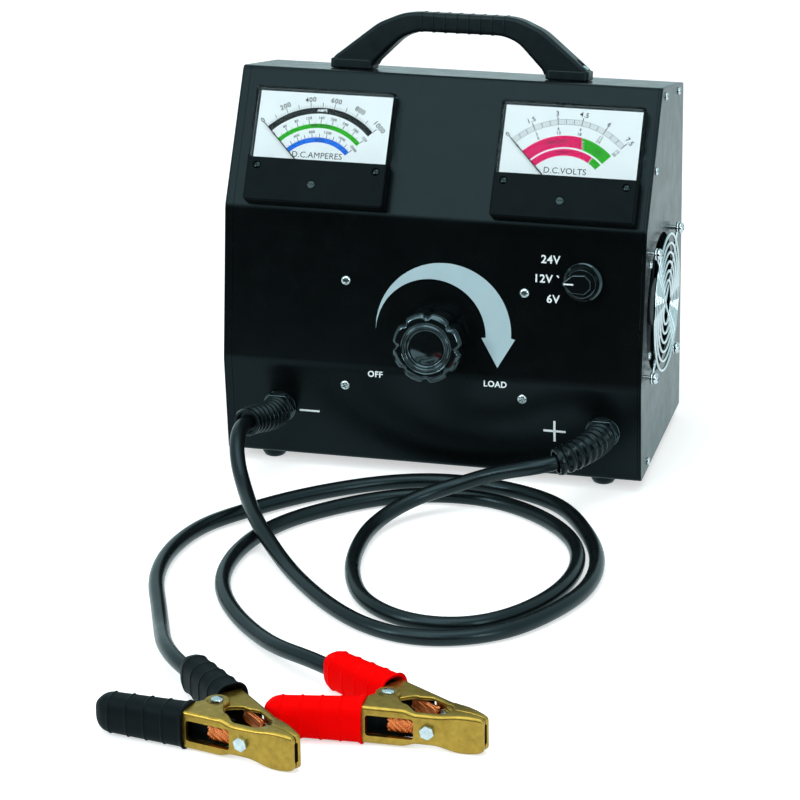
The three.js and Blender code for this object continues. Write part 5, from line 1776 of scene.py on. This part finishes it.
    def link(self, half: Half) -> None:
        """Builds the twisted copper link that runs back from one jaw's bolt.

        Args:
            half: the half of the clamp.
        """
        ends = [self.arm(back, inward, half.side) for back, inward in ((45, 6.6), (58, 6.4), (70, 7.0))]
        count, steps, twists = 6, 48, 2.4
        strands = []
        for strand in range(count):
            line = []
            for step in range(steps + 1):
                share = step / steps
                first = int(share >= 0.5)
                centre = ends[first].lerp(ends[first + 1], share * 2 - first)
                angle = FULL_TURN * (strand / count + share * twists)
                line.append(centre + Vector((0, 1.6 * math.cos(angle), 5.0 * math.sin(angle))))
            strands.append(sweep("strand", line, 1.3, 8))
        dress(join(f"{self.sign}_{half.name}_copper_link", *strands), Finish.COPPER, half.body,
              place=self.place, smooth=60)


# Studio

@dataclass
class Studio:
    """The camera at the photograph's angle, soft lamps, a pale floor and a pale surround."""

    focal_length: float = 151.4
    camera_place: Vector = Vector((0.624725, -2.624646, 1.0926))
    right: Vector = Vector((0.96949, 0.24482, -0.01247))
    down: Vector = Vector((0.07767, -0.35503, -0.93162))
    ahead: Vector = Vector((-0.23251, 0.90223, -0.36321))
    lamp_colour: Triple = (0.86, 0.98, 1.0)
    mirrored_colour: Triple = (0.68, 0.96, 1.0)
    floor_lift: float = 0.55

    def build(self) -> None:
        """Sets up everything that isn't part of the object."""
        bpy.context.scene.view_settings.view_transform = "Standard"
        self.floor()
        self.flag()
        self.surround()
        self.lamp("overhead", (0.1, -0.6, 2.3), (0, -0.2, 0), (1.9, 1.6), 25)
        self.lamp("slope_panel", (-0.75, -2.35, 2.35), (0, 0, 0.25), (2.6, 1.4), 31)
        self.lamp("front_left", (-2.0, -2.2, 1.3), (0, -0.1, 0.15), (0.5, 1.0), 25)
        self.lamp("front_right", (2.1, -2.1, 1.0), (0.1, -0.1, 0.15), (0.4, 0.9), 19)

    def camera(self) -> None:
        """Makes the camera."""
        camera = bpy.data.objects.new("camera", bpy.data.cameras.new("camera"))
        bpy.context.scene.collection.objects.link(camera)
        camera.data.lens = self.focal_length
        camera.data.sensor_width = 36
        camera.data.clip_end = 50
        axes = Matrix((self.right, -self.down, -self.ahead)).transposed().to_4x4()
        camera.matrix_world = Matrix.Translation(self.camera_place) @ axes
        bpy.context.scene.camera = camera

    def lamp(self, name: str, place: Sequence[float], aim: Sequence[float], size: Sequence[float],
             power: float) -> None:
        """Adds one soft lamp that looks at a point.

        Args:
            name: the lamp's name.
            place: where it hangs.
            aim: what it looks at.
            size: its width and height.
            power: its power in watts.
        """
        data = bpy.data.lights.new(name, "AREA")
        data.shape = "RECTANGLE"
        data.size, data.size_y = size
        data.energy = power
        data.color = self.lamp_colour
        lamp = bpy.data.objects.new(name, data)
        lamp.location = place
        lamp.rotation_euler = (Vector(aim) - Vector(place)).to_track_quat("-Z", "Y").to_euler()
        bpy.context.scene.collection.objects.link(lamp)

    @staticmethod
    def looked_at(tree: Tree) -> Socket:
        """Returns 1 for rays of the camera, of reflections and through acrylic, and 0 for others.

        Args:
            tree: the node tree.

        Returns:
            The socket that holds the 1 or the 0.
        """
        rays = added(tree, "LightPath", {}).outputs
        total = rays["Is Camera Ray"]
        for kind in ("Is Glossy Ray", "Is Transmission Ray"):
            either = added(tree, "Math", {0: total, 1: rays[kind]}, operation="ADD", use_clamp=True)
            total = either.outputs["Value"]
        return total

    def shown_colour(self, tree: Tree) -> Socket:
        """Returns white, or the lamps' cool shade for what is seen in a reflection."""
        reflected = added(tree, "LightPath", {}).outputs["Is Glossy Ray"]
        return blend(tree, reflected, (1, 1, 1), self.mirrored_colour)

    @staticmethod
    def material(name: str, colour: Triple) -> bpy.types.Material:
        """Returns a matt material for a piece of the studio.

        Args:
            name: the material's name.
            colour: its colour.

        Returns:
            The material.
        """
        material = bpy.data.materials.new(name)
        material.use_nodes = True
        feed(material.node_tree, material.node_tree.nodes["Principled BSDF"], {
            "Base Color": (*colour, 1), "Roughness": 0.9, "Specular IOR Level": 0.1})
        return material

    def floor(self) -> None:
        """Lays a pale floor that is white round the object and keeps its soft shadow."""
        floor = box("studio_floor", (-1.9, 1.9), (-0.75, 3.2), (-0.012, -0.0002))
        material = self.material("studio_floor", (0.84, 0.82, 0.82))
        tree = material.node_tree
        lift = added(tree, "Math", {0: self.looked_at(tree), 1: self.floor_lift}, operation="MULTIPLY")
        feed(tree, tree.nodes["Principled BSDF"], {
            "Emission Color": self.shown_colour(tree), "Emission Strength": lift.outputs["Value"]})
        floor.data.materials.append(material)

    def flag(self) -> None:
        """Stands a dark card behind the camera, which keeps the black front deep."""
        card = box("studio_flag", (-4, 4), (-3.25, -3.2), (-1.5, 1.4))
        card.data.materials.append(self.material("studio_flag", (0.01, 0.01, 0.01)))
        card.visible_camera = False

    def surround(self) -> None:
        """Makes the surround: white to look at, and a soft light that is dimmer from the front."""
        world = bpy.data.worlds.new("studio_surround")
        bpy.context.scene.world = world
        world.use_nodes = True
        tree = world.node_tree
        split = added(tree, "SeparateXYZ", {0: added(tree, "TexCoord", {}).outputs["Generated"]})
        limits = {"From Min": -0.8, "From Max": 0.3, "To Min": 0.12, "To Max": 0.5}
        slope = added(tree, "MapRange", {**limits, "Value": split.outputs["Y"]},
                      interpolation_type="SMOOTHSTEP")
        looked_at = self.looked_at(tree)
        strength = added(tree, "Math", {0: slope.outputs["Result"], 1: looked_at}, operation="MAXIMUM")
        colour = blend(tree, looked_at, self.lamp_colour, self.shown_colour(tree))
        feed(tree, tree.nodes["Background"], {"Color": colour, "Strength": strength.outputs["Value"]})


def main() -> None:
    """Builds the studio and every piece of the tester."""
    studio = Studio()
    studio.camera()
    for lead, clamp in (
            (MINUS_LEAD, BrassClamp("minus", -33.5, -505, -29.5, Finish.GRIP)),
            (PLUS_LEAD, BrassClamp("plus", 81.5, -466, -15.9, Finish.RED))):
        clamp.build()
        lead.build(clamp.lead_end(), clamp.pieces())
    studio.build()
    FoldedCase().build()
    CarryingHandle().build()
    Ammeter("ammeter", AMMETER_ACROSS).build()
    Voltmeter("voltmeter", VOLTMETER_ACROSS).build()
    LoadControl().build()
    VoltageSelector().build()
    FrontPrint().build()
    CoolingFan().build()


if __name__ == "__main__":
    main()
